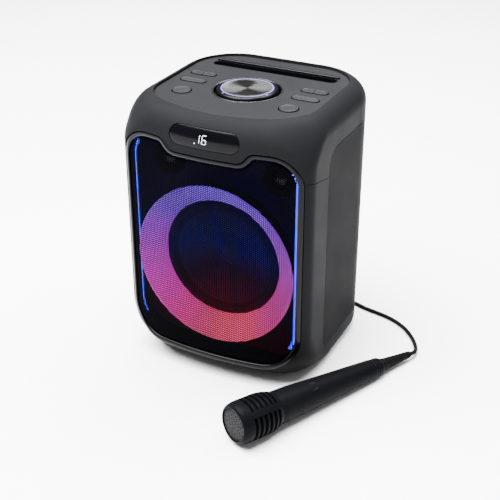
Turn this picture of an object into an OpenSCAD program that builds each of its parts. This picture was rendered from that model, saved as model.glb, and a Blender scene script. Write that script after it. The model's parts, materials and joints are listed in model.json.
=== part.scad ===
// Portable karaoke party speaker with a wired hand microphone.
// Millimetres. +Z up, the grille faces -Y, the origin is on the floor between the four feet.

/* [Casing] */
// Width over the side walls
body_w = 210; // [206:1:260]
// Height of the casing without its feet
body_h = 289; // [285:1:360]
// Depth from the middle of the front to the back wall
body_d = 211; // [205:1:250]
// Thickness of the moulded walls
wall = 3; // [2:0.5:4]
// How far the middle of the front stands proud of its sides
front_bulge = 13; // [8:1:18]
// Radius of the brow above the display
brow_r = 26; // [18:1:32]
// Radius of the front lower edge
chin_r = 42; // [20:1:50]
// Gap left at the parting lines
seam = 0.4; // [0.2:0.1:0.8]
// Height of a rubber foot below the casing
foot_h = 3; // [2:1:8]

/* [Front] */
// Half width of the front opening
opening_hw = 99; // [80:1:99]
// Depth of the notch under the display
notch_d = 12; // [8:1:16]
// Width of the gloss bezel round the grille
bezel_w = 6; // [4:0.5:8]
// Thickness of the grille sheet
grille_t = 1; // [0.8:0.1:1.5]
// Half width of the display window
display_hw = 38; // [28:1:44]
// Height of the display window
display_h = 21; // [16:1:24]
// Width of a side light strip
strip_w = 4; // [3:0.5:5]

/* [Woofer] */
// Outer radius of the light ring
ring_outer_r = 88; // [80:1:88]
// Inner radius of the light ring
ring_inner_r = 65.5; // [60:0.5:70]
// Outer radius of the paper cone
cone_r = 53; // [45:1:55]
// Radius of the dust cap
cap_r = 17; // [14:1:20]
// Radius of the magnet
magnet_r = 45; // [35:1:50]
// Travel of the cone each way
cone_travel = 3; // [1:0.5:4]

/* [Controls] */
// Outer radius of the volume knob
knob_r = 31.5; // [24:0.5:32]
// Depth of the moat that the knob stands in
moat_d = 6; // [4:0.5:8]
// Height of the knob's top above the control panel
knob_rise = 3; // [1:0.5:6]
// Travel of a button
button_travel = 0.6; // [0.4:0.1:1]
// Gap round a button
button_gap = 0.5; // [0.3:0.05:0.7]
// Length of the tablet slot
slot_l = 142; // [110:1:150]
// Width of the tablet slot
slot_w = 13; // [10:1:15]
// Depth of the tablet slot
slot_d = 13; // [8:1:16]

/* [Rear] */
// Bore of a microphone jack
mic_bore = 6.4; // [6.4:0.1:6.8]
// Bore of the line jack
aux_bore = 3.6; // [3.5:0.1:3.9]
// Inner radius of the bass port
port_r = 17; // [12:1:22]
// Length of the bass port
port_l = 60; // [40:1:80]

/* [Microphone] */
// Length of the microphone without its strain relief
mic_l = 194; // [170:1:220]
// Radius of the microphone's head
mic_head_r = 21.5; // [18:0.5:26]
// Radius of the handle next to the head
mic_neck_r = 17; // [14:0.5:19]
// Radius of the handle's end
mic_tail_r = 10.3; // [8:0.1:12]
// Travel of the microphone's switch
switch_travel = 5; // [3:0.5:7]
// Diameter of the microphone cord
cord_d = 4.5; // [4:0.5:6]

/* [Hidden] */
$fn = 64;

eps = 0.01;
far = 400;

// Main planes of the casing
half_w = body_w / 2;
z_bottom = foot_h;
z_top = foot_h + body_h;
y_front = -103;
y_back = y_front + body_d;
bulge_hw = half_w - 10;
front_r = (bulge_hw * bulge_hw + front_bulge * front_bulge) / (2 * front_bulge);
y_front_side = y_front + front_bulge;
// Radii of the casing's edges: back corners seen from above, then the others
rear_r = 66;
side_low_r = 14;
side_high_r = 24;
back_low_r = 14;
back_high_r = 18;
// Flat on the front edges
front_edge = 8;
edge_far = 200;
// The front corners are rounder than the casing behind them
front_corner_r = 44;
front_corner_lean = 10;

// The rear shell's outline seen from the side
shell_y = -40;
shell_z_low = 28;
shell_z_high = z_top - 38;
shell_corner_r = 20;
shell_foot_r = 10;
// The seam between hood and frame falls towards the back
seam_z_front = z_top - 54;
seam_z_back = z_top - 69;

// Front opening, shared by the bezel, the grille and the strips
open_z_low = z_bottom + 19;
open_z_high = z_top - 28;
open_low_r = 42;
open_high_r = 32;
lobe_x = 54;
lobe_r = 12;
notch_r = 12;
notch_slope = 50;
arc_steps = 8;
bezel_gap = 0.3;
bezel_depth = 12;
grille_recess = 2;
grille_gap = 0.4;
grille_flange = 5;
strip_t = 5;

// Display
display_z = z_top - 22;
lens_t = 1.6;
lens_gap = 0.2;

// Speaker axis and the planes behind the grille
ring_z = z_bottom + 122;
y_ring_front = y_front_side + 3.5;
y_ring_back = y_ring_front + 21;
y_baffle = y_ring_back + 5;
baffle_t = 9;
flange_t = 4;
flange_r = 80;
woofer_screw_r = 75.5;
surround_r = 65;
part_gap = 0.3;
coil_r = 13;
y_cone_front = y_baffle - flange_t - 1;
cone_depth = 24;
cone_t = 1;
y_magnet = y_baffle + 42;
magnet_l = 24;
basket_foot_r = magnet_r - 11;
spider_gap = 12;
tweeter_x = 62;
tweeter_z = ring_z + 99;
tweeter_r = 15;

// Control panel
panel_drop = 3;
panel_t = 2.5;
z_panel = z_top - panel_drop;
panel_hw = 87;
panel_y_front = -86;
panel_y_back = 88;
panel_corner_r = 46;
panel_front_r = 170;
panel_gap = 0.3;
knob_y = -8;
// The glowing ring in the knob's top and the metal cap inside it
glow_r = knob_r - 4.6;
glow_w = 1.4;
cap_edge_r = glow_r - glow_w;
moat_gap = 2.5;
z_board = z_panel - panel_t - 8.5;
board_t = 1.6;
slot_y = 55;
liner_t = 1.5;
bar_w = 4;
bar_rise = 1.5;

// Buttons: x, y, kind (0 round, 1 pill, 2 left half pill, 3 right half pill)
round_r = 9.3;
pill_l = 28;
pill_w = 9;
button_rise = 0.8;
BUTTONS = [
    [-59, -37.5, 0], [-63, -6.8, 1], [-63, 16.4, 2], [-63, 16.4, 3],
    [63, 16.4, 2], [63, 16.4, 3], [63, -6.8, 1], [59, -37.5, 0]
];
stem_r = 2;
tact_h = 3.8;
half_pill_x = pill_l / 4;

// Back
jack_plate_w = 84;
jack_plate_h = 44;
jack_plate_t = 2;
jack_z = 52;
mic_jack_x = [-30, -8];
aux_x = 12;
charge_x = 29;
charge_w = 9.6;
charge_h = 3.8;
port_z = 190;
port_t = 2;
port_flare = 5;

case_screw_x = 35;
case_screw_z = [92, 150, shell_z_high - 16];

// Feet
foot_x = 62;
foot_y = 45;
foot_r = 10;

// Microphone: it lies on its head and its tail
mic_yaw = 63.6;
mic_rest_s = 30;
mic_tilt = atan2(mic_head_r - mic_tail_r, mic_l - 2 - mic_rest_s);
mic_origin = [half_w - 29, -193.5, 0.1 + mic_rest_s * sin(mic_tilt) + mic_head_r * cos(mic_tilt)];
mesh_r = mic_head_r - 3.2;
head_l = 50;
cap_l = 12;
relief_l = 46;
relief_tip_r = 3.4;
switch_s = 95;
switch_l = 30;
switch_w = 11;
// The switch faces up and a little outwards
switch_roll = 25;
// Rings cut round the head
slot_s = 12.4;
slot_pitch = 5.9;
slot_cut_w = 3.2;
slot_cut_d = 1.4;

// Cord. The run lies on the floor, keeps clear of the side and goes round the casing's back corner
cord_r = cord_d / 2;
cord_sides = 8;
relief_tip = mic_point(mic_l + relief_l, 0);
cord_z = cord_r + 0.1;
RUN = [
    relief_tip, relief_tip + 7 * mic_dir(), [half_w + 79.5, 36, 4.6], [half_w + 76, 45, 3.4],
    [half_w + 70.5, 55, 2.7], [half_w + 63, y_back - 43, cord_z], [half_w + 53, y_back - 33, cord_z],
    [half_w + 41, y_back - 25, cord_z], [half_w + 27, y_back - 19, cord_z],
    [half_w + 13, y_back - 15.5, cord_z], [half_w - 1, y_back - 12.5, cord_z],
    [half_w - 14.5, y_back - 8, cord_z], [half_w - 31, y_back - 2.5, cord_z],
    [half_w - 49, y_back + 2, cord_z], [36, y_back + 5.2, cord_z], [15, y_back + 6.25, cord_z]
];
// Coil behind the casing
coil_centre = [15, y_back + 39];
coil_inner_r = 17;
coil_outer_r = 35;
coil_h = 18;
// Plug in the back
plug_x = mic_jack_x[0];
plug_l = 32;
plug_r = 5;
plug_relief_l = 16;
pin_l = 22;
pin_r = 3.15;
y_plate = y_back + jack_plate_t;
plug_end_y = y_plate + plug_l + plug_relief_l;
TAIL = [
    [-17.75, y_back + 39, 15.8], [-18, y_back + 50, 16], [-20, y_back + 61, 17.5],
    [-24, y_back + 70, 21], [-27.5, y_back + 76, 27], [-29.5, y_back + 78, 35],
    [plug_x, y_back + 75, 43.5], [plug_x, y_back + 68, 49.5], [plug_x, y_back + 58, 51.8],
    [plug_x, plug_end_y, jack_z]
];

// ---------- helpers ----------

// A profile drawn in X and Z, from y0 to y1
module along_y(y0, y1)
    translate([0, y1, 0])
    rotate([90, 0, 0])
    linear_extrude(height = y1 - y0)
    children();

// A profile drawn in Y and Z, from x0 to x1
module along_x(x0, x1)
    translate([x0, 0, 0])
    rotate([90, 0, 90])
    linear_extrude(height = x1 - x0)
    children();

// A solid of revolution about an axis along Y: profile X is the radius, profile Y is the depth
module turned_y(x, z)
    translate([x, 0, z])
    rotate([-90, 0, 0])
    rotate_extrude(angle = 360, $fn = 96)
    children();

// The square corner outside a quarter circle of radius r centred on [x, y]
module corner_waste(x, y, sx, sy, r)
    difference() {
        translate([x + (sx > 0 ? 0 : -r - 1), y + (sy > 0 ? 0 : -r - 1)])
            square(r + 1);
        translate([x, y])
            circle(r);
    }

// Rectangle from [x0, y0] to [x1, y1] with radius low at y0 and high at y1
module round_rect(x0, x1, y0, y1, low, high)
    difference() {
        translate([x0, y0])
            square([x1 - x0, y1 - y0]);
        corner_waste(x0 + low, y0 + low, -1, -1, low);
        corner_waste(x1 - low, y0 + low, 1, -1, low);
        corner_waste(x0 + high, y1 - high, -1, 1, high);
        corner_waste(x1 - high, y1 - high, 1, 1, high);
    }

// Horizontal pill of length l and width w
module pill(l, w) {
    square([l - w, w], center = true);
    translate([w / 2 - l / 2, 0])
        circle(w / 2);
    translate([l / 2 - w / 2, 0])
        circle(w / 2);
}

function arc(cx, cy, r, a0, a1, n) =
    [for (i = [0:n]) [cx + r * cos(a0 + (a1 - a0) * i / n), cy + r * sin(a0 + (a1 - a0) * i / n)]];

function mirrored(p) = [for (i = [len(p) - 1:-1:0]) [-p[i][0], p[i][1]]];

// Right half of the front opening, moved in by i all round
function opening_half(i) = let (
    run = (notch_d - (lobe_r + notch_r) * (1 - cos(notch_slope))) / tan(notch_slope),
    notch_x = lobe_x - (lobe_r + notch_r) * sin(notch_slope) - run,
    low = arc(opening_hw - open_low_r, open_z_low + open_low_r, open_low_r - i, -90, 0, arc_steps),
    high = arc(opening_hw - open_high_r, open_z_high - open_high_r, open_high_r - i, 0, 90, arc_steps),
    lobe = arc(lobe_x, open_z_high - lobe_r, lobe_r - i, 90, 90 + notch_slope, 4),
    notch = arc(notch_x, open_z_high - notch_d + notch_r, notch_r + i, notch_slope - 90, -90, 4)
) concat(low, high, lobe, notch);

module opening(i)
    polygon(concat(opening_half(i), mirrored(opening_half(i))));

// Everything behind the convex front surface, moved in by i
module behind_front(i)
    translate([0, y_front + front_r, -far / 2])
    cylinder(r = front_r - i, h = 2 * far, $fn = 180);

// Rounds a lower front corner, less and less towards the back
module front_corner_cut(i)
    for (m = [0, 1])
        mirror([m, 0, 0])
        translate([half_w - front_corner_r, y_front_side, z_bottom + front_corner_r])
        rotate([-front_corner_lean, 0, -front_corner_lean])
        along_y(-40, 90)
        corner_waste(0, 0, 1, -1, front_corner_r - i);

// The whole casing as a solid, with its walls moved in by i
module casing_form(i)
    difference() {
        casing_block(i);
        front_corner_cut(i);
    }

module casing_block(i)
    intersection() {
        along_y(y_front - 1, y_back - i)
            round_rect(i - half_w, half_w - i, z_bottom + i, z_top - i, side_low_r - i, side_high_r - i);
        translate([0, 0, z_bottom])
            linear_extrude(height = body_h)
            intersection() {
                round_rect(i - half_w, half_w - i, y_front - 20, y_back - i, 5, rear_r - i);
                translate([0, y_front + front_r])
                    circle(front_r - i, $fn = 180);
                // Flats on the two front edges
                translate([0, edge_far])
                    rotate(45)
                    square((edge_far - y_front_side + half_w - front_edge) * sqrt(2) - 2 * i, center = true);
            }
        along_x(-half_w, half_w)
            difference() {
                translate([y_front + i, z_bottom + i])
                    square([body_d - 2 * i, body_h - 2 * i]);
                corner_waste(y_front + brow_r, z_top - brow_r, -1, 1, brow_r - i);
                corner_waste(y_front + chin_r, z_bottom + chin_r, -1, -1, chin_r - i);
                corner_waste(y_back - back_high_r, z_top - back_high_r, 1, 1, back_high_r - i);
                corner_waste(y_back - back_low_r, z_bottom + back_low_r, 1, -1, back_low_r - i);
            }
    }

module casing_shell()
    difference() {
        casing_form(0);
        casing_form(wall);
    }

// Side outline of the rear shell, grown by i
module shell_side(i)
    difference() {
        translate([shell_y - i, shell_z_low - i])
            square([far, shell_z_high - shell_z_low + 2 * i]);
        corner_waste(shell_y + shell_corner_r, shell_z_high - shell_corner_r, -1, 1, shell_corner_r + i);
        corner_waste(shell_y + shell_foot_r, shell_z_low + shell_foot_r, -1, -1, shell_foot_r + i);
    }

// Side outline of the hood, above the sloping seam
module hood_side()
    difference() {
        polygon([
            [y_front - 20, seam_z_front], [y_front_side, seam_z_front],
            [shell_y + shell_corner_r, seam_z_back], [far, seam_z_back],
            [far, z_top + 1], [y_front - 20, z_top + 1]
        ]);
        shell_side(seam);
    }

// Outline of the control panel, moved in by i
module panel_outline(i)
    intersection() {
        round_rect(i - panel_hw, panel_hw - i, panel_y_front + i, panel_y_back - i,
            panel_corner_r - i, panel_corner_r - i);
        translate([0, panel_y_front + panel_front_r])
            circle(panel_front_r - i, $fn = 180);
    }

module button_outline(kind, grow) {
    if (kind == 0)
        circle(round_r + grow);
    if (kind == 1)
        pill(pill_l + 2 * grow, pill_w + 2 * grow);
    if (kind > 1)
        intersection() {
            pill(pill_l + 2 * grow, pill_w + 2 * grow);
            translate([kind == 2 ? -pill_l : button_gap / 2 - grow, -pill_w])
                square([pill_l - button_gap / 2 + grow, 2 * pill_w]);
        }
}

// Sweeps a round tube along points: one ring of sides points at each one
function unit(v) = v / norm(v);
function heading(p, i) =
    unit((i < len(p) - 1 ? p[i + 1] : p[i]) - (i > 0 ? p[i - 1] : p[i]));
function ring_at(c, t, r, n, side) = let (u = unit(cross(t, side)), v = cross(t, u))
    [for (k = [0:n - 1]) c + r * (u * cos(360 * k / n) + v * sin(360 * k / n))];

// The route never runs along the direction called side
module tube(p, r, n, side) {
    last = len(p) - 1;
    points = [for (i = [0:last]) each ring_at(p[i], heading(p, i), r, n, side)];
    sides = [for (i = [0:last - 1]) for (k = [0:n - 1]) let (
        a = i * n + k, b = i * n + (k + 1) % n, c = (i + 1) * n + (k + 1) % n, d = (i + 1) * n + k
    ) each [[a, b, c], [a, c, d]]];
    start = [[for (k = [n - 1:-1:0]) k]];
    end = [[for (k = [0:n - 1]) last * n + k]];
    polyhedron(points = points, faces = concat(start, sides, end), convexity = 10);
}

// Smooth curve through the route's points
function curve_point(p, i, t) = let (
    a = p[max(i - 1, 0)], b = p[i], c = p[i + 1], d = p[min(i + 2, len(p) - 1)]
) 0.5 * (2 * b + (c - a) * t + (2 * a - 5 * b + 4 * c - d) * t * t + (3 * b - a - 3 * c + d) * t * t * t);
function smooth(p, n) = concat(
    [for (i = [0:len(p) - 2]) for (k = [0:n - 1]) curve_point(p, i, k / n)], [p[len(p) - 1]]);

// ---------- casing ----------

module top_hood()
    color("#2b2d30")
    difference() {
        intersection() {
            casing_shell();
            along_x(-half_w - 1, half_w + 1)
                hood_side();
        }
        along_y(y_front - 5, y_front_side + 12)
            opening(0);
        translate([0, 0, z_panel - panel_t - 1])
            linear_extrude(height = 20)
            panel_outline(0);
        along_y(y_front - 5, y_front + 20)
            translate([0, display_z])
            pill(2 * display_hw, display_h);
    }

module front_frame()
    color("#2b2d30")
    difference() {
        intersection() {
            casing_shell();
            along_x(-half_w - 1, half_w + 1)
                difference() {
                    polygon([
                        [y_front - 20, 0], [shell_y + 30, 0], [shell_y + 30, seam_z_back - seam],
                        [shell_y + shell_corner_r, seam_z_back - seam],
                        [y_front_side, seam_z_front - seam], [y_front - 20, seam_z_front - seam]
                    ]);
                    shell_side(seam);
                    translate([shell_y + shell_foot_r, 0])
                        square([far, shell_z_low + 1]);
                }
        }
        along_y(y_front - 5, y_front_side + 12)
            opening(0);
    }

module rear_shell()
    color("#3a3c40")
    difference() {
        intersection() {
            casing_shell();
            along_x(-half_w - 1, half_w + 1)
                shell_side(0);
        }
        along_y(y_back - 10, y_back + 5)
            translate([0, jack_z])
            square([jack_plate_w - 8, jack_plate_h - 8], center = true);
        turned_y(0, port_z)
            translate([0, y_back - 10])
            square([port_r + port_t + part_gap, 20]);
        for (p = case_screw_places())
            translate([p[0], y_back - 10, p[1]])
            rotate([-90, 0, 0])
            cylinder(r = 2.2, h = 20, $fn = 24);
    }

module base_tray()
    color("#2b2d30")
    intersection() {
        casing_shell();
        along_x(-half_w - 1, half_w + 1)
            translate([shell_y + shell_foot_r + seam, 0])
            square([far, shell_z_low - seam]);
    }

module feet()
    color("#151515")
    for (x = [-foot_x, foot_x], y = [-foot_y, foot_y])
        translate([x, y, 0])
        cylinder(r1 = foot_r - 1, r2 = foot_r, h = foot_h, $fn = 48);

module bezel_ring()
    color("#0a0a0b")
    difference() {
        intersection() {
            behind_front(0.8);
            along_y(y_front - 5, y_front_side + bezel_depth)
                opening(bezel_gap);
        }
        along_y(y_front - 6, y_front_side + bezel_depth + 1)
            opening(bezel_w);
    }

module grille()
    color("#17181c")
    difference() {
        intersection() {
            behind_front(grille_recess);
            along_y(y_front - 5, y_front_side + grille_recess + grille_flange)
                opening(bezel_w + grille_gap);
        }
        intersection() {
            behind_front(grille_recess + grille_t);
            along_y(y_front - 6, y_front_side + 30)
                opening(bezel_w + grille_gap + grille_t);
        }
    }

module display_lens()
    color("#050506")
    intersection() {
        difference() {
            casing_form(0.3);
            casing_form(0.3 + lens_t);
        }
        along_y(y_front - 5, y_front + 20)
            translate([0, display_z])
            pill(2 * (display_hw - lens_gap), display_h - 2 * lens_gap);
    }

module display_board()
    color("#e8f4ff")
    translate([-29, y_front + 11.5, display_z - 8]) {
        cube([58, 1.6, 13]);
        translate([8, -3, 2])
            cube([42, 3, 9]);
    }

// ---------- speaker drivers and lights ----------

module baffle()
    color("#202124")
    difference() {
        intersection() {
            casing_form(wall);
            translate([-far / 2, y_baffle, 0])
                cube([far, baffle_t, z_board - 5]);
        }
        turned_y(0, ring_z)
            translate([0, y_baffle - 1])
            square([flange_r - 8, baffle_t + 2]);
        for (x = [-tweeter_x, tweeter_x])
            turned_y(x, tweeter_z)
            translate([0, y_baffle - 1])
            square([tweeter_r - 2, baffle_t + 2]);
    }

module woofer_basket()
    color("#1b1c1e")
    difference() {
        union() {
            turned_y(0, ring_z)
                polygon([
                    [surround_r + part_gap, y_baffle - flange_t], [flange_r, y_baffle - flange_t],
                    [flange_r, y_baffle], [70, y_baffle], [70, y_baffle + 8],
                    [magnet_r - 8, y_magnet - 2], [magnet_r - 8, y_magnet], [coil_r + 6, y_magnet],
                    [coil_r + 6, y_magnet - 2.5], [basket_foot_r, y_magnet - 2.5],
                    [surround_r + part_gap, y_baffle + 7]
                ]);
        }
        for (a = [45:90:315])
            translate([0, 0, ring_z])
            rotate([0, a, 0])
            translate([-15, y_baffle + 13, 30])
            cube([30, 18, 60]);
        for (p = woofer_screw_places())
            translate([p[0], y_baffle - 20, p[1]])
            rotate([-90, 0, 0])
            cylinder(r = 2, h = 40, $fn = 24);
    }

// Inside radius of the basket's cone at depth y
function basket_in_r(y) = let (t = (y - (y_baffle + 7)) / (y_magnet - 2.5 - (y_baffle + 7)))
    (surround_r + part_gap) * (1 - t) + basket_foot_r * t;

module woofer_magnet()
    color("#555a60")
    difference() {
        turned_y(0, ring_z)
            polygon([
                [0, y_magnet + magnet_l], [magnet_r, y_magnet + magnet_l], [magnet_r, y_magnet],
                [coil_r + 1, y_magnet], [coil_r + 1, y_magnet + magnet_l - 6], [coil_r - 1.5, y_magnet + magnet_l - 6],
                [coil_r - 1.5, y_magnet - 2], [0, y_magnet - 2]
            ]);
    }

// Half roll between the basket and the cone
module woofer_surround()
    color("#101012")
    turned_y(0, ring_z)
    difference() {
        union() {
            translate([(surround_r + cone_r) / 2 + 0.5, y_cone_front])
                circle((surround_r - cone_r) / 2 - 0.8, $fn = 48);
            translate([cone_r + part_gap, y_cone_front])
                square([surround_r - cone_r - part_gap, 1.2]);
        }
        translate([(surround_r + cone_r) / 2 + 0.5, y_cone_front])
            circle((surround_r - cone_r) / 2 - 2, $fn = 48);
        translate([cone_r - 5, y_cone_front + 1.2])
            square([30, 20]);
    }

module woofer_cone()
    color("#1c2233")
    turned_y(0, ring_z)
    polygon([
        [cone_r, y_cone_front], [cone_r, y_cone_front + cone_t + 0.6],
        [coil_r + 0.5, y_cone_front + cone_depth], [coil_r + 0.5, y_cone_front + cone_depth - 2],
        [cone_r - 3, y_cone_front]
    ]);

// Depth at which the cone's front face has the cap's radius
function cap_edge() = (cone_depth - 2) * (cone_r - 3 - cap_r) / (cone_r - 3 - coil_r - 0.5) + 0.1;

// A dome over the coil, glued on the cone
module dust_cap()
    color("#1c2233")
    turned_y(0, ring_z)
    difference() {
        intersection() {
            translate([0, y_cone_front + cone_depth + 9])
                circle(r = cap_r + 4.5, $fn = 96);
            translate([0, y_cone_front])
                square([cap_r, cap_edge()]);
        }
        translate([0, y_cone_front + cone_depth + 9])
            circle(r = cap_r + 3.5, $fn = 96);
    }

module voice_coil()
    color("#b8793a")
    turned_y(0, ring_z)
    translate([coil_r - 0.5, y_cone_front + cone_depth - 1.8])
    square([1, y_magnet + 10 - (y_cone_front + cone_depth - 1.8)]);

// Flat suspension disc between the basket and the coil
module woofer_spider()
    color("#a8803c")
    turned_y(0, ring_z)
    translate([coil_r + 0.5 + part_gap, y_magnet - spider_gap])
    square([basket_in_r(y_magnet - spider_gap) - coil_r - 0.5 - part_gap + 0.1, 0.8]);

module tweeter_frames()
    color("#191a1c")
    for (x = [-tweeter_x, tweeter_x])
        turned_y(x, tweeter_z)
        polygon([
            [8.5, y_baffle - 3], [tweeter_r + 2, y_baffle - 3], [tweeter_r + 2, y_baffle],
            [tweeter_r - 2.3, y_baffle], [tweeter_r - 2.3, y_baffle + 16], [0, y_baffle + 16],
            [0, y_baffle + 4], [8.5, y_baffle + 4]
        ]);

module tweeter_domes()
    color("#c7cbd1")
    for (x = [-tweeter_x, tweeter_x])
        turned_y(x, tweeter_z)
        intersection() {
            translate([0, y_baffle + 8])
                circle(r = 11, $fn = 64);
            translate([0, y_baffle - 20])
                square([8, 22]);
        }

// Cone-shaped diffuser of the ring light
module light_funnel()
    color("#c05ad8")
    turned_y(0, ring_z)
    polygon([
        [ring_outer_r - 3, y_ring_front], [ring_outer_r, y_ring_front], [ring_outer_r, y_ring_front + 3],
        [ring_inner_r + 2.5, y_ring_back], [ring_inner_r, y_ring_back], [ring_inner_r, y_ring_back - 2.5]
    ]);

module ring_led_board()
    color("#1d5a34")
    turned_y(0, ring_z)
    translate([ring_inner_r + 3.5, y_baffle - flange_t - 1.2])
    square([woofer_screw_r - 3 - ring_inner_r - 3.5, 1.2]);

module light_strip(side) {
    y0 = y_front_side + grille_recess + grille_flange + 0.5;
    x_in = ring_outer_r - 4;
    intersection() {
        along_y(y0, y0 + strip_t)
            difference() {
                opening(bezel_w + 0.3);
                opening(bezel_w + 0.3 + strip_w);
            }
        translate([side > 0 ? x_in - 1 : -far - x_in + 1, y0 - 1, open_z_low + 16])
            cube([far, 8, open_z_high - open_z_low - 26]);
    }
}

module light_strip_left()
    color("#3a49ff")
    light_strip(-1);

module light_strip_right()
    color("#3a49ff")
    light_strip(1);

// ---------- control panel ----------

module control_panel()
    color("#2e3033")
    difference() {
        union() {
            translate([0, 0, z_panel - panel_t])
                linear_extrude(height = panel_t)
                panel_outline(panel_gap);
            translate([0, knob_y, z_panel - moat_d - liner_t])
                cylinder(r = knob_r + moat_gap + liner_t, h = moat_d + liner_t, $fn = 96);
        }
        translate([0, knob_y, z_panel - moat_d])
            cylinder(r = knob_r + moat_gap, h = far, $fn = 96);
        translate([0, knob_y, z_panel - moat_d - liner_t - 1])
            cylinder(r = 4, h = far, $fn = 48);
        translate([-slot_l / 2, slot_y - slot_w / 2, z_panel - panel_t - 1])
            cube([slot_l, slot_w + bar_w, panel_t + 2]);
        for (b = BUTTONS)
            translate([b[0], b[1], z_panel - panel_t - 1])
            linear_extrude(height = panel_t + 2)
            button_outline(min(b[2], 1), button_gap);
    }

// Pocket that holds a tablet, with a bar along its back edge
module slot_liner()
    color("#0c0c0e")
    difference() {
        union() {
            translate([-slot_l / 2, slot_y - slot_w / 2, z_panel - slot_d - liner_t])
                cube([slot_l, slot_w, slot_d + liner_t]);
            translate([-slot_l / 2, slot_y + slot_w / 2 - eps, z_panel - panel_t])
                cube([slot_l, bar_w, panel_t + bar_rise]);
        }
        translate([liner_t - slot_l / 2, slot_y - slot_w / 2 + liner_t, z_panel - slot_d])
            cube([slot_l - 2 * liner_t, slot_w - 2 * liner_t, slot_d + 1]);
    }

module knob_body()
    color("#0f1012")
    difference() {
        translate([0, knob_y, 0])
            rotate_extrude($fn = 128)
            polygon([
                [0, z_panel - moat_d + 1], [knob_r, z_panel - moat_d + 1], [knob_r, z_panel + knob_rise - 2.5],
                [knob_r - 2, z_panel + knob_rise], [glow_r, z_panel + knob_rise], [glow_r, z_panel + knob_rise - 2],
                [0, z_panel + knob_rise - 2]
            ]);
        translate([0, knob_y, 0])
            cylinder(r = 3.04, h = z_panel + knob_rise - 4, $fn = 48);
    }

module knob_light_ring()
    color("#dfe2ff")
    translate([0, knob_y, z_panel + knob_rise - 2])
    difference() {
        cylinder(r = glow_r, h = 2.2, $fn = 128);
        translate([0, 0, -1])
            cylinder(r = cap_edge_r, h = 5, $fn = 128);
    }

module knob_cap()
    color("#8d8f94")
    translate([0, knob_y, 0])
    rotate_extrude($fn = 128)
    polygon([
        [0, z_panel + knob_rise - 2], [cap_edge_r, z_panel + knob_rise - 2], [cap_edge_r, z_panel + knob_rise - 0.2],
        [cap_edge_r - 0.5, z_panel + knob_rise + 0.4], [0, z_panel + knob_rise]
    ]);

// Rotary encoder: case on the board and a shaft up into the knob
module encoder() {
    color("#8a8d92")
    translate([-6, knob_y - 6, z_board + board_t])
        cube([12, 12, 1.2]);
    color("#8a8d92")
    translate([0, knob_y, z_board + board_t + 1.2 - eps])
        cylinder(r = 3, h = z_panel + knob_rise - 4.5 - (z_board + board_t + 1.2), $fn = 48);
}

module control_board()
    color("#1d5a34")
    difference() {
        translate([0, 0, z_board])
            linear_extrude(height = board_t)
            difference() {
                panel_outline(10);
                translate([-far / 2, slot_y - slot_w / 2 - 3])
                    square([far, far]);
            }
    }

module tact_switches()
    color("#c9ccd0")
    for (b = BUTTONS)
        translate([button_x(b), b[1], z_board + board_t]) {
            translate([-3, -3, 0])
                cube([6, 6, tact_h - 1]);
            translate([0, 0, tact_h - 1 - eps])
                cylinder(r = 1.6, h = 1, $fn = 24);
        }

function button_x(b) = b[0] + (b[2] == 2 ? -half_pill_x : b[2] == 3 ? half_pill_x : 0);

module button(i) {
    b = BUTTONS[i];
    color("#303236") {
        translate([b[0], b[1], z_panel - panel_t - 0.5])
            linear_extrude(height = panel_t + 0.5 + button_rise)
            button_outline(b[2], 0);
        translate([button_x(b), b[1], z_board + board_t + tact_h + button_travel + part_gap])
            cylinder(r = stem_r, h = z_panel - panel_t - (z_board + board_t + tact_h + button_travel + part_gap), $fn = 24);
    }
}

module button_1() button(0);
module button_2() button(1);
module button_3() button(2);
module button_4() button(3);
module button_5() button(4);
module button_6() button(5);
module button_7() button(6);
module button_8() button(7);

// ---------- inside and back ----------

module main_board()
    color("#1d5a34") {
        translate([-60, y_back - wall - 14, 80])
            cube([120, 1.6, 70]);
        translate([20, y_back - wall - 14 - 12 + eps, 90])
            cube([30, 12, 40]);
    }

module battery_pack()
    color("#2f6fb0")
    translate([-45, 5, z_bottom + wall])
    cube([90, 45, 24]);

module jack_plate()
    color("#1a1b1d")
    difference() {
        along_y(y_back, y_plate)
            translate([0, jack_z])
            round_rect(-jack_plate_w / 2, jack_plate_w / 2, -jack_plate_h / 2, jack_plate_h / 2, 5, 5);
        for (x = mic_jack_x)
            turned_y(x, jack_z)
            translate([0, y_back - 1])
            square([mic_bore / 2, jack_plate_t + 2]);
        turned_y(aux_x, jack_z)
            translate([0, y_back - 1])
            square([aux_bore / 2, jack_plate_t + 2]);
        translate([charge_x - charge_w / 2, y_back - 1, jack_z - charge_h / 2])
            cube([charge_w, jack_plate_t + 2, charge_h]);
    }

module socket(x, bore, w, l)
    difference() {
        translate([x - w / 2, y_back - l, jack_z - w / 2])
            cube([w, l, w]);
        turned_y(x, jack_z)
            translate([0, y_back - l + 2])
            square([bore / 2, l]);
    }

module mic_jacks()
    color("#101114")
    for (x = mic_jack_x)
        socket(x, mic_bore, 16, 28);

module aux_jack()
    color("#101114")
    socket(aux_x, aux_bore, 9, 16);

module charge_port()
    color("#b9bcc2")
    translate([charge_x, 0, jack_z])
    difference() {
        translate([-charge_w / 2 - 0.6, y_back - 9, -charge_h / 2 - 0.6])
            cube([charge_w + 1.2, 9, charge_h + 1.2]);
        translate([-charge_w / 2, y_back - 8, -charge_h / 2])
            cube([charge_w, 9, charge_h]);
    }

module bass_port()
    color("#141517")
    turned_y(0, port_z)
    polygon([
        [port_r, y_back - port_l], [port_r + port_t, y_back - port_l], [port_r + port_t, y_back],
        [port_r + port_t + port_flare, y_back], [port_r + port_t + port_flare, y_back + 1.5],
        [port_r + 2, y_back + 1.5], [port_r, y_back - 2]
    ]);

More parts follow.
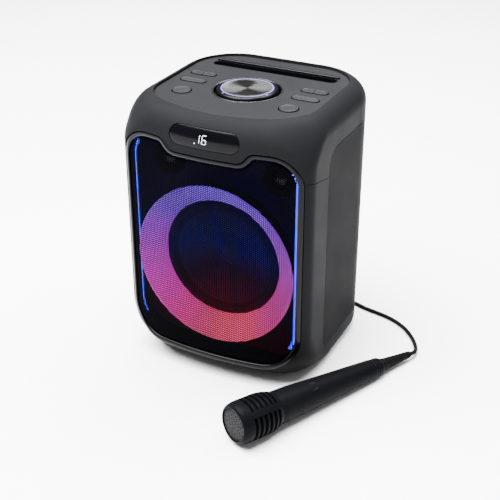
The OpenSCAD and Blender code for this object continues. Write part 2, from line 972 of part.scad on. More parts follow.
function case_screw_places() =
    [for (x = [-case_screw_x, case_screw_x], z = case_screw_z) [x, z]];
function woofer_screw_places() =
    [for (a = [45:90:315]) [woofer_screw_r * cos(a), ring_z + woofer_screw_r * sin(a)]];

module screw(head_r, head_h, shank_r, shank_l)
    rotate([90, 0, 0]) {
        difference() {
            cylinder(r = head_r, h = head_h, $fn = 32);
            for (a = [0, 90])
                rotate(a)
                translate([-head_r * 0.6, -0.35, head_h - 0.9])
                cube([head_r * 1.2, 0.7, 2]);
        }
        translate([0, 0, -shank_l])
            cylinder(r = shank_r, h = shank_l + eps, $fn = 24);
    }

module case_screws()
    color("#2a2a2a")
    for (p = case_screw_places())
        translate([p[0], y_back, p[1]])
        rotate([0, 0, 180])
        screw(3.6, 1.8, 1.9, 14);

module woofer_screws()
    color("#8f9297")
    for (p = woofer_screw_places())
        translate([p[0], y_baffle - flange_t, p[1]])
        screw(2.6, 1.2, 1.8, flange_t);

// ---------- microphone ----------

function mic_dir() = [cos(mic_tilt) * cos(mic_yaw), cos(mic_tilt) * sin(mic_yaw), -sin(mic_tilt)];
function mic_up() = [sin(mic_tilt) * cos(mic_yaw), sin(mic_tilt) * sin(mic_yaw), cos(mic_tilt)];
// The point s along the microphone's axis and h above it
function mic_point(s, h) = mic_origin + s * mic_dir() + h * mic_up();

// Local frame: X runs along the microphone from its head, Z is up
module on_mic()
    translate(mic_origin)
    rotate([0, mic_tilt, mic_yaw])
    children();

// A turned piece: profile X is the distance from the head's front, profile Y is the radius
module mic_turned()
    on_mic()
    rotate([0, 90, 0])
    rotate_extrude($fn = 72)
    mirror([1, -1])
    children();

module mic_mesh()
    color("#3a3b3d")
    mic_turned()
    polygon([[0, 0], [0, mesh_r - 2], [1, mesh_r - 0.5], [4, mesh_r], [4, mesh_r - 1], [1.8, mesh_r - 2], [1.2, 0]]);

// Ring-slotted head basket
module mic_cage()
    color("#18191b")
    difference() {
        mic_turned()
            difference() {
                polygon([
                    [2, mesh_r + 0.3], [2, mesh_r + 1.5], [5, mic_head_r - 1], [12, mic_head_r],
                    [30, mic_head_r], [40, mic_head_r - 0.8], [head_l, mic_neck_r], [head_l, mic_neck_r - 2.5],
                    [40, mic_head_r - 3.3], [30, mic_head_r - 2.5], [12, mic_head_r - 2.5], [5, mesh_r + 0.3]
                ]);
                for (k = [0:4])
                    translate([slot_s + slot_pitch * k, mic_head_r - slot_cut_d])
                    square([slot_cut_w, 3]);
            }
    }

module mic_capsule()
    color("#7d8086")
    mic_turned()
    translate([6, 0])
    square([20, 12]);

module mic_handle()
    color("#1b1c1e")
    difference() {
        mic_turned()
            polygon([
                [head_l, 0], [head_l, mic_neck_r], [head_l + 24, mic_neck_r - 0.3],
                [mic_l - cap_l, mic_tail_r + 0.6], [mic_l - cap_l, 0]
            ]);
        on_mic()
            rotate([switch_roll, 0, 0])
            translate([switch_s - switch_l / 2, -switch_w / 2, switch_floor()])
            cube([switch_l, switch_w, 20]);
    }

function switch_floor() = mic_neck_r - 5.5;

module mic_switch()
    color("#111214")
    on_mic()
    rotate([switch_roll, 0, 0])
    translate([switch_s - 1, 0, switch_floor() + part_gap]) {
        translate([-7, 0.6 - switch_w / 2, 0])
            cube([14, switch_w - 1.2, 2.4]);
        for (k = [-2:2])
            translate([2 * k - 0.5, 1.2 - switch_w / 2, 2.4 - eps])
            cube([1, switch_w - 2.4, 1]);
    }

module mic_end_cap()
    color("#0f1011")
    mic_turned()
    polygon([
        [mic_l - cap_l, 0], [mic_l - cap_l, mic_tail_r], [mic_l - 2, mic_tail_r],
        [mic_l, mic_tail_r - 2], [mic_l, 0]
    ]);

module mic_strain_relief()
    color("#0c0c0d")
    mic_turned()
    polygon([
        [mic_l, 0], [mic_l, 7.5], [mic_l + 6, 7],
        [mic_l + relief_l, relief_tip_r], [mic_l + relief_l, 0]
    ]);

module mic_cord_run()
    color("#0c0c0d")
    tube(smooth(RUN, 2), cord_r, cord_sides, [0, 0, 1]);

module mic_cord_coil()
    color("#0c0c0d") {
        translate([coil_centre[0], coil_centre[1], 0])
            rotate_extrude($fn = 96)
            translate([coil_inner_r, 0.1])
            square([coil_outer_r - coil_inner_r, coil_h]);
    }

module mic_cord_tail()
    color("#0c0c0d")
    tube(smooth(TAIL, 2), cord_r, cord_sides, [1, 0, 0]);

module mic_plug_sleeve()
    color("#0c0c0d")
    turned_y(plug_x, jack_z)
    polygon([
        [0, y_plate + 0.2], [plug_r, y_plate + 0.2], [plug_r + 1, y_plate + 4],
        [plug_r + 1, y_plate + plug_l - 4], [plug_r - 1, y_plate + plug_l],
        [cord_r + 0.8, plug_end_y], [0, plug_end_y]
    ]);

module mic_plug_pin()
    color("#c9a24a")
    turned_y(plug_x, jack_z)
    polygon([
        [0, y_plate - pin_l], [1.5, y_plate - pin_l], [2.6, y_plate - pin_l + 2],
        [1.9, y_plate - pin_l + 4], [pin_r, y_plate - pin_l + 6], [pin_r, y_plate + 0.2], [0, y_plate + 0.2]
    ]);

top_hood();
front_frame();
rear_shell();
base_tray();
control_panel();
slot_liner();
bezel_ring();
grille();
display_lens();
display_board();
feet();
baffle();
woofer_basket();
woofer_magnet();
woofer_surround();
woofer_cone();
dust_cap();
voice_coil();
woofer_spider();
tweeter_frames();
tweeter_domes();
light_funnel();
ring_led_board();
light_strip_left();
light_strip_right();
knob_body();
knob_light_ring();
knob_cap();
encoder();
control_board();
tact_switches();
button_1();
button_2();
button_3();
button_4();
button_5();
button_6();
button_7();
button_8();
main_board();
battery_pack();
jack_plate();
mic_jacks();
aux_jack();
charge_port();
bass_port();
case_screws();
woofer_screws();
mic_mesh();
mic_cage();
mic_capsule();
mic_handle();
mic_switch();
mic_end_cap();
mic_strain_relief();
mic_cord_run();
mic_cord_coil();
mic_cord_tail();
mic_plug_sleeve();
mic_plug_pin();
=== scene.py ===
"""Looks of a lit party speaker with its wired hand microphone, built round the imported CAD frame."""
import json
import math

import bmesh
import bpy
import numpy as np
from mathutils import Matrix, Vector


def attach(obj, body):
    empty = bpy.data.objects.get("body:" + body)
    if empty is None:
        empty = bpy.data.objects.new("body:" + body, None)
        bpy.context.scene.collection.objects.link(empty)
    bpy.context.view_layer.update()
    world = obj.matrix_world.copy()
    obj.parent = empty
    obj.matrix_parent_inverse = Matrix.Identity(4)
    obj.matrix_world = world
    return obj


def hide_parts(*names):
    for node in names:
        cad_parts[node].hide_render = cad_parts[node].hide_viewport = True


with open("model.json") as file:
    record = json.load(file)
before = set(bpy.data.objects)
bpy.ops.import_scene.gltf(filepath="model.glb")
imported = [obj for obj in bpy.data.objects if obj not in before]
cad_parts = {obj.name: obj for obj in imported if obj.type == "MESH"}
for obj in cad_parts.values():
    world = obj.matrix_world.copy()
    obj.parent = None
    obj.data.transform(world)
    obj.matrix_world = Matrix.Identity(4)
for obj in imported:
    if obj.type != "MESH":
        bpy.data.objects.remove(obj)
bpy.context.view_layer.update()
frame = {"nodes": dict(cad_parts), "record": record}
NODES = frame["nodes"]
MM = 0.001

# ---------------------------------------------------------------- camera

camera = bpy.data.objects.new("camera", bpy.data.cameras.new("camera"))
camera.data.lens = 74.93
camera.data.sensor_width = 36
camera.location = (0.4446, -0.8983, 0.6487)
camera.rotation_euler = (math.radians(61.389), 0, math.radians(26.388))
bpy.context.scene.collection.objects.link(camera)
bpy.context.scene.camera = camera

# ---------------------------------------------------------------- materials

RING_Z = 0.125
KNOB_Y = -0.008
RING_STRENGTH = 1.8
STRIP_STRENGTH = 4.0
RING_LAMPS = 24


def add(tree, kind, links=None, **settings):
    """A shader node with its settings: input sockets by name, other attributes by their own names."""
    n = tree.nodes.new(kind)
    for key, value in settings.items():
        if hasattr(n, key):
            setattr(n, key, value)
        else:
            n.inputs[key.replace("_", " ")].default_value = value
    for socket, source in (links or {}).items():
        tree.links.new(source, n.inputs[socket])
    return n


def shaded(name, **settings):
    """A new material with one principled shader; gives it, its tree, the shader and object coordinates."""
    material = bpy.data.materials.new(name)
    material.use_nodes = True
    tree = material.node_tree
    tree.nodes.clear()
    shader = add(tree, "ShaderNodeBsdfPrincipled", **settings)
    tree.links.new(shader.outputs[0], add(tree, "ShaderNodeOutputMaterial").inputs[0])
    return material, tree, shader, add(tree, "ShaderNodeTexCoord").outputs["Object"]


def math_node(tree, operation, a, b=None):
    n = tree.nodes.new("ShaderNodeMath")
    n.operation = operation
    for i, value in enumerate((a, b)):
        if value is None:
            continue
        if isinstance(value, (int, float)):
            n.inputs[i].default_value = value
        else:
            tree.links.new(value, n.inputs[i])
    return n.outputs[0]


def ramp(tree, fac, stops):
    n = tree.nodes.new("ShaderNodeValToRGB")
    tree.links.new(fac, n.inputs[0])
    e = n.color_ramp.elements
    while len(e) < len(stops):
        e.new(0.5)
    for i, (at, color) in enumerate(stops):
        e[i].position = at
        e[i].color = (*color, 1)
    return n.outputs[0]


def surface(name, color, rough, metal=0.0, grain=0.0007, bump=0.4, mottle=0.12, wear=0.05, edge=0.0005,
            specular=0.5):
    """Moulded, painted or metal finish: fine grain, slow mottling and softened edges."""
    m, t, shader, where = shaded(name, Metallic=metal, Specular_IOR_Level=specular)
    fine = add(t, "ShaderNodeTexNoise", {"Vector": where}, Scale=1 / grain, Detail=3.0, Roughness=0.6)
    slow = add(t, "ShaderNodeTexNoise", {"Vector": where}, Scale=22.0, Detail=4.0, Roughness=0.55)
    low, high = 0.3, 0.7
    dark = tuple(c * (1 - mottle) for c in color)
    light = tuple(min(1, c * (1 + mottle)) for c in color)
    t.links.new(ramp(t, slow.outputs["Fac"], [(low, dark), (high, light)]), shader.inputs["Base Color"])
    spread = add(t, "ShaderNodeMapRange", {"Value": slow.outputs["Fac"]}, From_Min=low, From_Max=high,
                 To_Min=max(0.02, rough - wear), To_Max=min(1.0, rough + wear))
    t.links.new(spread.outputs[0], shader.inputs["Roughness"])
    normal = add(t, "ShaderNodeBump", {"Height": fine.outputs["Fac"]}, Strength=bump, Distance=0.00004)
    if edge:
        soft = add(t, "ShaderNodeBevel", Radius=edge, samples=4)
        t.links.new(soft.outputs[0], normal.inputs["Normal"])
    t.links.new(normal.outputs[0], shader.inputs["Normal"])
    return m


def lit(name, color, strength, base=(0.5, 0.5, 0.5)):
    """A light guide that glows evenly, with a faint grain."""
    m, t, shader, where = shaded(name, Roughness=0.35, Base_Color=(*base, 1), Emission_Strength=strength)
    grain = add(t, "ShaderNodeTexNoise", {"Vector": where}, Scale=160.0, Detail=2.0)
    dim = tuple(c * 0.86 for c in color)
    t.links.new(ramp(t, grain.outputs["Fac"], [(0.3, dim), (0.7, color)]), shader.inputs["Emission Color"])
    return m


def ring_light_material():
    """Diffuser of the ring light: its colour goes round the woofer, with soft lamps behind it."""
    m, t, shader, where = shaded("ring_light", Roughness=0.45, Base_Color=(0.25, 0.22, 0.26, 1))
    xyz = add(t, "ShaderNodeSeparateXYZ", {"Vector": where})
    z = math_node(t, "SUBTRACT", xyz.outputs["Z"], RING_Z)
    # 0 on the left, 0.25 at the bottom, 0.5 on the right, 0.75 on top
    angle = math_node(t, "ARCTAN2", z, xyz.outputs["X"])
    turn = math_node(t, "ADD", math_node(t, "DIVIDE", angle, 2 * math.pi), 0.5)
    color = ramp(t, turn, [
        (0.00, (0.70, 0.002, 0.95)), (0.09, (1.00, 0.002, 0.66)), (0.17, (1.00, 0.004, 0.34)),
        (0.25, (1.00, 0.045, 0.14)), (0.33, (0.95, 0.040, 0.16)), (0.43, (0.80, 0.008, 0.42)),
        (0.52, (0.50, 0.005, 0.62)), (0.62, (0.20, 0.012, 0.80)), (0.75, (0.10, 0.018, 0.74)),
        (0.88, (0.16, 0.016, 0.90)), (1.00, (0.62, 0.006, 0.86))])
    t.links.new(color, shader.inputs["Emission Color"])
    lamps = math_node(t, "SINE", math_node(t, "MULTIPLY", turn, 2 * math.pi * RING_LAMPS))
    uneven = add(t, "ShaderNodeTexNoise", {"Vector": where}, Scale=17.0, Detail=1.0)
    glow = math_node(t, "ADD", math_node(t, "MULTIPLY", lamps, 0.06),
                     math_node(t, "MULTIPLY", uneven.outputs["Fac"], 0.9))
    level = math_node(t, "MULTIPLY", math_node(t, "ADD", glow, 0.62), RING_STRENGTH)
    t.links.new(level, shader.inputs["Emission Strength"])
    return m


def ring_glow_painted(name, color, reach, strength, bump):
    """A dark piece with the ring light's glow painted on as emission: maroon at the bottom, navy above; reach
    is half its height.
    """
    m = surface(name, color, 0.45, grain=0.001, bump=bump, specular=0.05)
    t = m.node_tree
    shader = next(n for n in t.nodes if n.type == "BSDF_PRINCIPLED")
    where = add(t, "ShaderNodeTexCoord").outputs["Object"]
    xyz = add(t, "ShaderNodeSeparateXYZ", {"Vector": where})
    height = add(t, "ShaderNodeMapRange", {"Value": xyz.outputs["Z"]}, From_Min=RING_Z - reach,
                 From_Max=RING_Z + reach)
    uneven = add(t, "ShaderNodeTexNoise", {"Vector": where}, Scale=30.0, Detail=1.0)
    level = math_node(t, "ADD", height.outputs[0], math_node(t, "MULTIPLY", uneven.outputs["Fac"], 0.12))
    # Painted reflection of the ring light: maroon below the ring, navy above it
    color = ramp(t, level, [(0.05, (0.55, 0.004, 0.03)), (0.38, (0.10, 0.004, 0.10)),
                            (0.6, (0.018, 0.010, 0.50)), (1.0, (0.012, 0.006, 0.26))])
    t.links.new(color, shader.inputs["Emission Color"])
    shader.inputs["Emission Strength"].default_value = strength
    return m


def strip_material():
    """Side light guides: deep blue below, paler towards the top, broken up by a fine ripple."""
    m, t, shader, where = shaded("strip_light", Roughness=0.3, Base_Color=(0.2, 0.22, 0.4, 1),
                                 Emission_Strength=STRIP_STRENGTH)
    xyz = add(t, "ShaderNodeSeparateXYZ", {"Vector": where})
    ripple = add(t, "ShaderNodeTexNoise", {"Vector": where}, Scale=420.0, Detail=2.0)
    fine = math_node(t, "MULTIPLY", ripple.outputs["Fac"], 0.5)
    level = math_node(t, "ADD", fine, math_node(t, "MULTIPLY", xyz.outputs["Z"], 0.4))
    color = ramp(t, level, [(0.1, (0.03, 0.01, 0.85)), (0.42, (0.02, 0.025, 1.0)), (0.6, (0.08, 0.10, 1.0))])
    t.links.new(color, shader.inputs["Emission Color"])
    return m


def spun_material():
    """Spun metal: concentric tool marks and a stretched highlight."""
    m, t, shader, where = shaded("spun_metal", Metallic=1.0, Roughness=0.3, Anisotropic=0.92)
    shift = add(t, "ShaderNodeVectorMath", {"Vector": where}, operation="ADD")
    shift.inputs[1].default_value = (0, -KNOB_Y, 0)
    flat = add(t, "ShaderNodeVectorMath", {"Vector": shift.outputs[0]}, operation="MULTIPLY")
    flat.inputs[1].default_value = (1, 1, 0)
    length = add(t, "ShaderNodeVectorMath", {"Vector": flat.outputs[0]}, operation="LENGTH")
    marks = add(t, "ShaderNodeTexNoise", noise_dimensions="1D", Scale=9000.0, Detail=3.0)
    t.links.new(length.outputs["Value"], marks.inputs["W"])
    color = ramp(t, marks.outputs["Fac"], [(0.3, (0.040, 0.039, 0.040)), (0.7, (0.075, 0.073, 0.074))])
    t.links.new(color, shader.inputs["Base Color"])
    bump = add(t, "ShaderNodeBump", {"Height": marks.outputs["Fac"]}, Strength=0.25, Distance=0.00002)
    t.links.new(bump.outputs[0], shader.inputs["Normal"])
    # The tangent runs round the knob's axis
    tangent = add(t, "ShaderNodeVectorMath", {"Vector": flat.outputs[0]}, operation="CROSS_PRODUCT")
    tangent.inputs[1].default_value = (0, 0, 1)
    unit = add(t, "ShaderNodeVectorMath", {"Vector": tangent.outputs[0]}, operation="NORMALIZE")
    t.links.new(unit.outputs[0], shader.inputs["Tangent"])
    return m


FINISHES = {
    "casing_dark": dict(color=(0.0060, 0.0061, 0.0067), rough=0.45, grain=0.0005, mottle=0.05,
                        specular=0.006),
    "casing_side": dict(color=(0.0050, 0.0051, 0.0056), rough=0.5, grain=0.0005, mottle=0.05,
                        specular=0.004),
    "panel": dict(color=(0.0066, 0.0067, 0.0073), rough=0.45, grain=0.0004, mottle=0.05, specular=0.04),
    "button_plastic": dict(color=(0.0084, 0.0085, 0.0092), rough=0.36, grain=0.0004, specular=0.08),
    "gloss_black": dict(color=(0.001, 0.001, 0.0014), rough=0.16, grain=0.002, bump=0.1, wear=0.03,
                        specular=0.06),
    "display_window": dict(color=(0.001, 0.001, 0.0015), rough=0.2, grain=0.002, bump=0.05, wear=0.02,
                           specular=0.06),
    "knob_black": dict(color=(0.001, 0.001, 0.0013), rough=0.28, grain=0.001, bump=0.2, specular=0.06),
    "slot_black": dict(color=(0.0008, 0.0008, 0.001), rough=0.5, grain=0.001, bump=0.2, specular=0.01),
    "grille_metal": dict(color=(0.0008, 0.0008, 0.0012), rough=0.45, grain=0.0004, edge=0, specular=0.003),
    "inner_black": dict(color=(0.0015, 0.0015, 0.002), rough=0.5, grain=0.0006, specular=0.02),
    "rubber": dict(color=(0.002, 0.002, 0.002), rough=0.6, grain=0.0006, bump=0.5, specular=0.02),
    "cord_black": dict(color=(0.0025, 0.0025, 0.003), rough=0.45, grain=0.0006, bump=0.5, edge=0,
                       specular=0.02),
    "mic_black": dict(color=(0.0018, 0.0019, 0.0024), rough=0.4, grain=0.0005, specular=0.012),
    "mic_mesh_metal": dict(color=(0.012, 0.012, 0.013), rough=0.4, metal=0.6, edge=0, specular=0.05),
    "dark_trim": dict(color=(0.035, 0.035, 0.038), rough=0.3, metal=1.0, grain=0.001, bump=0.2),
    "dome_metal": dict(color=(0.03, 0.031, 0.036), rough=0.3, metal=1.0),
    "magnet_steel": dict(color=(0.35, 0.36, 0.38), rough=0.4, metal=1.0),
    "copper": dict(color=(0.6, 0.3, 0.14), rough=0.35, metal=1.0),
    "gold_pin": dict(color=(0.8, 0.58, 0.24), rough=0.22, metal=1.0),
    "screw_black": dict(color=(0.02, 0.02, 0.02), rough=0.35, metal=0.6),
    "spider_cloth": dict(color=(0.40, 0.28, 0.12), rough=0.8, grain=0.001, bump=0.9),
    "circuit_board": dict(color=(0.02, 0.11, 0.05), rough=0.35, grain=0.001),
    "battery_wrap": dict(color=(0.03, 0.12, 0.34), rough=0.3, grain=0.002),
}
MATS = {name: surface(name, **finish) for name, finish in FINISHES.items()}
MATS.update({
    # Cone, surround and driver board: dark pieces with the ring light's glow painted on as emission
    "cone_paper": ring_glow_painted("cone_paper", (0.003, 0.004, 0.012), 0.066, 0.34, 0.6),
    "ring_glow_rubber": ring_glow_painted("ring_glow_rubber", (0.002, 0.002, 0.004), 0.066, 0.22, 0.5),
    "ring_glow_board": ring_glow_painted("ring_glow_board", (0.002, 0.002, 0.004), 0.12, 0.07, 0.4),
    "display_digits": lit("display_digits", (0.36, 0.76, 1.0), 1.5),
    "strip_core": lit("strip_core", (0.05, 0.07, 1.0), 7.0),
    "knob_light": lit("knob_light", (0.20, 0.14, 1.0), 1.6, base=(0.05, 0.05, 0.08)),
    "ring_light": ring_light_material(),
    "strip_light": strip_material(),
    "spun_metal": spun_material(),
})
# CAD nodes with another look than their slot's: the surround wears the painted glow of the ring light
OWN_LOOK = {"woofer_surround": "ring_glow_rubber"}
SLOT = {s["node"]: s["material_slot"] for s in frame["record"]["subparts"]}
for name, node in NODES.items():
    node.data.materials.clear()
    node.data.materials.append(MATS[OWN_LOOK.get(name, SLOT[name])])


def piece(name, verts, faces, slot, body="root", replaces=(), smooth=40, clean=True):
    """A mesh in millimetres as a named piece that rides on a body and wears a material slot."""
    mesh = bpy.data.meshes.new(name)
    mesh.from_pydata([Vector(v) * MM for v in verts], [], faces)
    if clean:
        bm = bmesh.new()
        bm.from_mesh(mesh)
        bmesh.ops.remove_doubles(bm, verts=bm.verts, dist=1e-7)
        bmesh.ops.recalc_face_normals(bm, faces=bm.faces)
        bm.to_mesh(mesh)
        bm.free()
    return finish_piece(name, mesh, slot, body, replaces, smooth)


def finish_piece(name, mesh, slot, body="root", replaces=(), smooth=40):
    """Puts a finished mesh into the scene under its name, body and slot."""
    mesh.name = name
    mesh.materials.clear()
    mesh.materials.append(MATS[slot])
    if smooth:
        mesh.polygons.foreach_set("use_smooth", [True] * len(mesh.polygons))
        mesh.set_sharp_from_angle(angle=math.radians(smooth))
    o = bpy.data.objects.new(name, mesh)
    bpy.context.scene.collection.objects.link(o)
    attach(o, body)
    if replaces:
        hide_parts(*replaces)
    return o


def rings_mesh(rings, closed_profile=False, cap_start=False, cap_end=False):
    """Quads between consecutive rings of equally many points."""
    n = len(rings[0])
    verts = [p for r in rings for p in r]
    faces = []
    last = len(rings) if closed_profile else len(rings) - 1
    for i in range(last):
        j = (i + 1) % len(rings)
        for k in range(n):
            m = (k + 1) % n
            faces.append((i * n + k, i * n + m, j * n + m, j * n + k))
    if cap_start:
        faces.append(tuple(range(n - 1, -1, -1)))
    if cap_end:
        faces.append(tuple(range((len(rings) - 1) * n, len(rings) * n)))
    return verts, faces


# ---------------------------------------------------------------- cord

CORD_D = 4.5
CORD_Z = 2.35


def through(points, step=3.0):
    """A smooth line through the points, in millimetres, sampled evenly."""
    p = [np.array(q, float) for q in points]
    dense = []
    for i in range(len(p) - 1):
        a, b, c, d = p[max(i - 1, 0)], p[i], p[i + 1], p[min(i + 2, len(p) - 1)]
        for t in np.linspace(0, 1, 24, endpoint=False):
            dense.append(0.5 * (2 * b + (c - a) * t + (2 * a - 5 * b + 4 * c - d) * t * t
                                + (3 * b - a - 3 * c + d) * t ** 3))
    dense.append(p[-1])
    dense = np.array(dense)
    along = np.concatenate([[0], np.cumsum(np.linalg.norm(np.diff(dense, axis=0), axis=1))])
    at = np.linspace(0, along[-1], max(2, int(round(along[-1] / step)) + 1))
    return np.array([np.interp(at, along, dense[:, k]) for k in range(3)]).T


MIC_YAW = math.radians(63.6)
MIC_L, MIC_HEAD_R, MIC_TAIL_R, MIC_REST = 194.0, 21.5, 10.3, 30.0
MIC_TILT = math.atan2(MIC_HEAD_R - MIC_TAIL_R, MIC_L - 2 - MIC_REST)
MIC_AT = np.array([76, -193.5, 0.1 + MIC_REST * math.sin(MIC_TILT) + MIC_HEAD_R * math.cos(MIC_TILT)])
MIC_DIR = np.array([math.cos(MIC_TILT) * math.cos(MIC_YAW), math.cos(MIC_TILT) * math.sin(MIC_YAW),
                    -math.sin(MIC_TILT)])
MIC_UP = np.array([math.sin(MIC_TILT) * math.cos(MIC_YAW), math.sin(MIC_TILT) * math.sin(MIC_YAW),
                   math.cos(MIC_TILT)])
MIC_SIDE = np.cross(MIC_UP, MIC_DIR)
RELIEF_L = 46.0
RELIEF_TIP = MIC_AT + (MIC_L + RELIEF_L) * MIC_DIR


def mic_point(s, side=0.0, up=0.0):
    return MIC_AT + s * MIC_DIR + side * MIC_SIDE + up * MIC_UP


COIL = np.array([15.0, 147.0])
RADII = [32.75, 28.25, 23.75, 19.25]
LAYERS = 4
run = [RELIEF_TIP, RELIEF_TIP + 7 * MIC_DIR, (184.5, 36, 4.6), (181, 45, 3.4), (175.5, 55, 2.7),
       (168, 65, CORD_Z), (158, 75, CORD_Z), (146, 83, CORD_Z), (132, 89, CORD_Z), (118, 92.5, CORD_Z),
       (104, 95.5, CORD_Z), (90.5, 100, CORD_Z), (74, 105.5, CORD_Z), (56, 110, CORD_Z), (36, 113.2, CORD_Z),
       (COIL[0], COIL[1] - RADII[0], CORD_Z)]
line = list(through(run))
# Layers of turns that go in and out by turns; each change of radius or layer takes the end of a turn
turns = [(r, layer) for layer in range(LAYERS) for r in (RADII if layer % 2 == 0 else RADII[::-1])]
per_turn = 40
change_at = 0.62
for k, (r, layer) in enumerate(turns):
    nxt = turns[min(k + 1, len(turns) - 1)]
    for i in range(1, per_turn + 1):
        f = i / per_turn
        ease = min(1.0, max(0.0, (f - change_at) / (1 - change_at)))
        ease = ease * ease * (3 - 2 * ease)
        radius = r + (nxt[0] - r) * ease
        height = CORD_Z + CORD_D * (layer + (nxt[1] - layer) * ease)
        a = math.radians(-90) - 2 * math.pi * f
        line.append(np.array([COIL[0] + radius * math.cos(a), COIL[1] + radius * math.sin(a), height]))
coil_top = CORD_Z + CORD_D * (LAYERS - 1)
for i in range(1, 11):
    a = math.radians(-90 - 9 * i)
    line.append(np.array([COIL[0] + RADII[0] * math.cos(a), COIL[1] + RADII[0] * math.sin(a), coil_top]))
tail = [line[-1], (-18, 158, 16), (-20, 169, 17.5), (-24, 178, 21), (-27.5, 184, 27), (-29.5, 186, 35),
        (-30, 183, 43.5), (-30, 176, 49.5), (-30, 166, 51.8), (-30, 153, 52)]
line += list(through(tail))[1:]
line = np.array(line)

curve = bpy.data.curves.new("mic_cord", "CURVE")
curve.dimensions = "3D"
curve.bevel_depth = CORD_D / 2 * MM
curve.bevel_resolution = 5
curve.use_fill_caps = True
spline = curve.splines.new("POLY")
spline.points.add(len(line) - 1)
for point, at in zip(spline.points, line):
    point.co = (*(at * MM), 1)
curve.materials.append(MATS["cord_black"])
cord = bpy.data.objects.new("mic_cord", curve)
bpy.context.scene.collection.objects.link(cord)
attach(cord, "root")
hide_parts("mic_cord_run", "mic_cord_coil", "mic_cord_tail")

# ---------------------------------------------------------------- casing

HALF_W, Y_FRONT, Y_BACK, Z_LOW, Z_TOP = 104.7, -103.0, 108.0, 3.0, 292.0
BOW_HALF_W, BOW = 95.0, 13.0
FRONT_R = (BOW_HALF_W ** 2 + BOW ** 2) / (2 * BOW)
Y_SIDE = Y_FRONT + BOW
REAR_R = 66.0
HALVINGS = 34


def step(a, b, v):
    """0 at a, 1 at b, with a smooth change between them."""
    t = np.clip((v - a) / (b - a), 0, 1)
    return t * t * (3 - 2 * t)


def rounded(a, b, r):
    """The larger of two distances, with a fillet of radius r where they meet."""
    u, v = np.maximum(r + a, 0), np.maximum(r + b, 0)
    return np.minimum(-r, np.maximum(a, b)) + np.hypot(u, v)


def shoulder_r(z):
    """Radius of the front verticals: tight beside the grille, broad above and below it."""
    return 15 + 31 * step(246, 290, z) + 25 * step(66, 5, z)


def casing_distance(x, y, z):
    """Distance outside the casing's moulded form, negative inside."""
    side = np.abs(x) - HALF_W
    front = np.hypot(x, y - Y_FRONT - FRONT_R) - FRONT_R
    back = y - Y_BACK
    plan = rounded(rounded(side, front, shoulder_r(z)), back, REAR_R)
    top_r = 22 + 4 * step(-60, -95, y)
    low_r = 12 + 28 * step(-15, -88, y)
    form = rounded(plan, z - Z_TOP, top_r)
    return rounded(form, Z_LOW - z, low_r)


def face_y(x, z):
    """Depth of the front face beside the opening: bowed, and falling away at the shoulders."""
    x, z = np.broadcast_arrays(np.asarray(x, float), np.asarray(z, float))
    near, away = np.full(x.shape, -60.0), np.full(x.shape, -112.0)
    for _ in range(HALVINGS):
        mid = (near + away) / 2
        front = np.hypot(x, mid - Y_FRONT - FRONT_R) - FRONT_R
        outside = rounded(np.abs(x) - HALF_W, front, shoulder_r(z)) > 0
        away = np.where(outside, mid, away)
        near = np.where(outside, near, mid)
    return near


def casing_mesh(inset, around, levels):
    """The casing's form moved in by inset, as a closed mesh swept round the vertical axis."""
    low, high = Z_LOW + inset, Z_TOP - inset
    margin = 0.012
    s = (1 - np.cos(np.linspace(margin, math.pi - margin, levels))) / 2
    # Levels gather towards both ends, where the form turns over
    s = 0.5 * s + 0.5 * np.linspace(s[0], s[-1], levels)
    z = low + (high - low) * s
    z[0], z[-1] = low + 1e-4, high - 1e-4
    a = np.linspace(0, 2 * math.pi, around, endpoint=False)
    dx, dy = np.cos(a), np.sin(a)
    zz = z[:, None]
    near, away = np.full((levels, around), 5.0), np.full((levels, around), 200.0)
    for _ in range(HALVINGS):
        mid = (near + away) / 2
        outside = casing_distance(mid * dx, mid * dy, zz) > -inset
        away = np.where(outside, mid, away)
        near = np.where(outside, near, mid)
    rings = [[(near[i, k] * dx[k], near[i, k] * dy[k], z[i]) for k in range(around)] for i in range(levels)]
    verts, faces = rings_mesh(rings, cap_start=True, cap_end=True)
    return solid(verts, faces)


def solid(verts, faces):
    """A mesh in millimetres, used to cut with."""
    mesh = bpy.data.meshes.new("form")
    mesh.from_pydata([Vector(v) for v in verts], [], faces)
    bm = bmesh.new()
    bm.from_mesh(mesh)
    bmesh.ops.remove_doubles(bm, verts=bm.verts, dist=1e-6)
    bmesh.ops.triangulate(bm, faces=[f for f in bm.faces if len(f.verts) > 4])
    bmesh.ops.recalc_face_normals(bm, faces=bm.faces)
    bm.to_mesh(mesh)
    bm.free()
    o = bpy.data.objects.new("form", mesh)
    bpy.context.scene.collection.objects.link(o)
    return o


def cut(target, tool, operation="DIFFERENCE"):
    """The target after a boolean with the tool, which is kept."""
    m = target.modifiers.new("cut", "BOOLEAN")
    m.object = tool
    m.operation = operation
    m.solver = "MANIFOLD"
    bpy.context.view_layer.update()
    mesh = bpy.data.meshes.new_from_object(target.evaluated_get(bpy.context.evaluated_depsgraph_get()))
    target.modifiers.clear()
    old = target.data
    target.data = mesh
    bpy.data.meshes.remove(old)
    return target


def cut_all(target, tools):
    """Cuts the target with each tool in turn, and throws the tools away."""
    for tool in tools:
        cut(target, tool)
        discard(tool)
    return target


def copy_of(o):
    c = bpy.data.objects.new("form", o.data.copy())
    bpy.context.scene.collection.objects.link(c)
    return c


def discard(*objects):
    for o in objects:
        bpy.data.objects.remove(o)


def prism(outline, axis, start, end):
    """A closed prism over a 2D outline: axis 'x' takes (y, z), 'y' takes (x, z), 'z' takes (x, y)."""
    def at(p, h):
        return {"x": (h, p[0], p[1]), "y": (p[0], h, p[1]), "z": (p[0], p[1], h)}[axis]
    return solid(*rings_mesh([[at(p, start) for p in outline], [at(p, end) for p in outline]],
                             cap_start=True, cap_end=True))


def arc(cx, cy, r, a0, a1, n):
    """Points of an arc from a0 to a1 degrees, both ends included."""
    return [(cx + r * math.cos(math.radians(a0 + (a1 - a0) * i / n)),
             cy + r * math.sin(math.radians(a0 + (a1 - a0) * i / n))) for i in range(n + 1)]


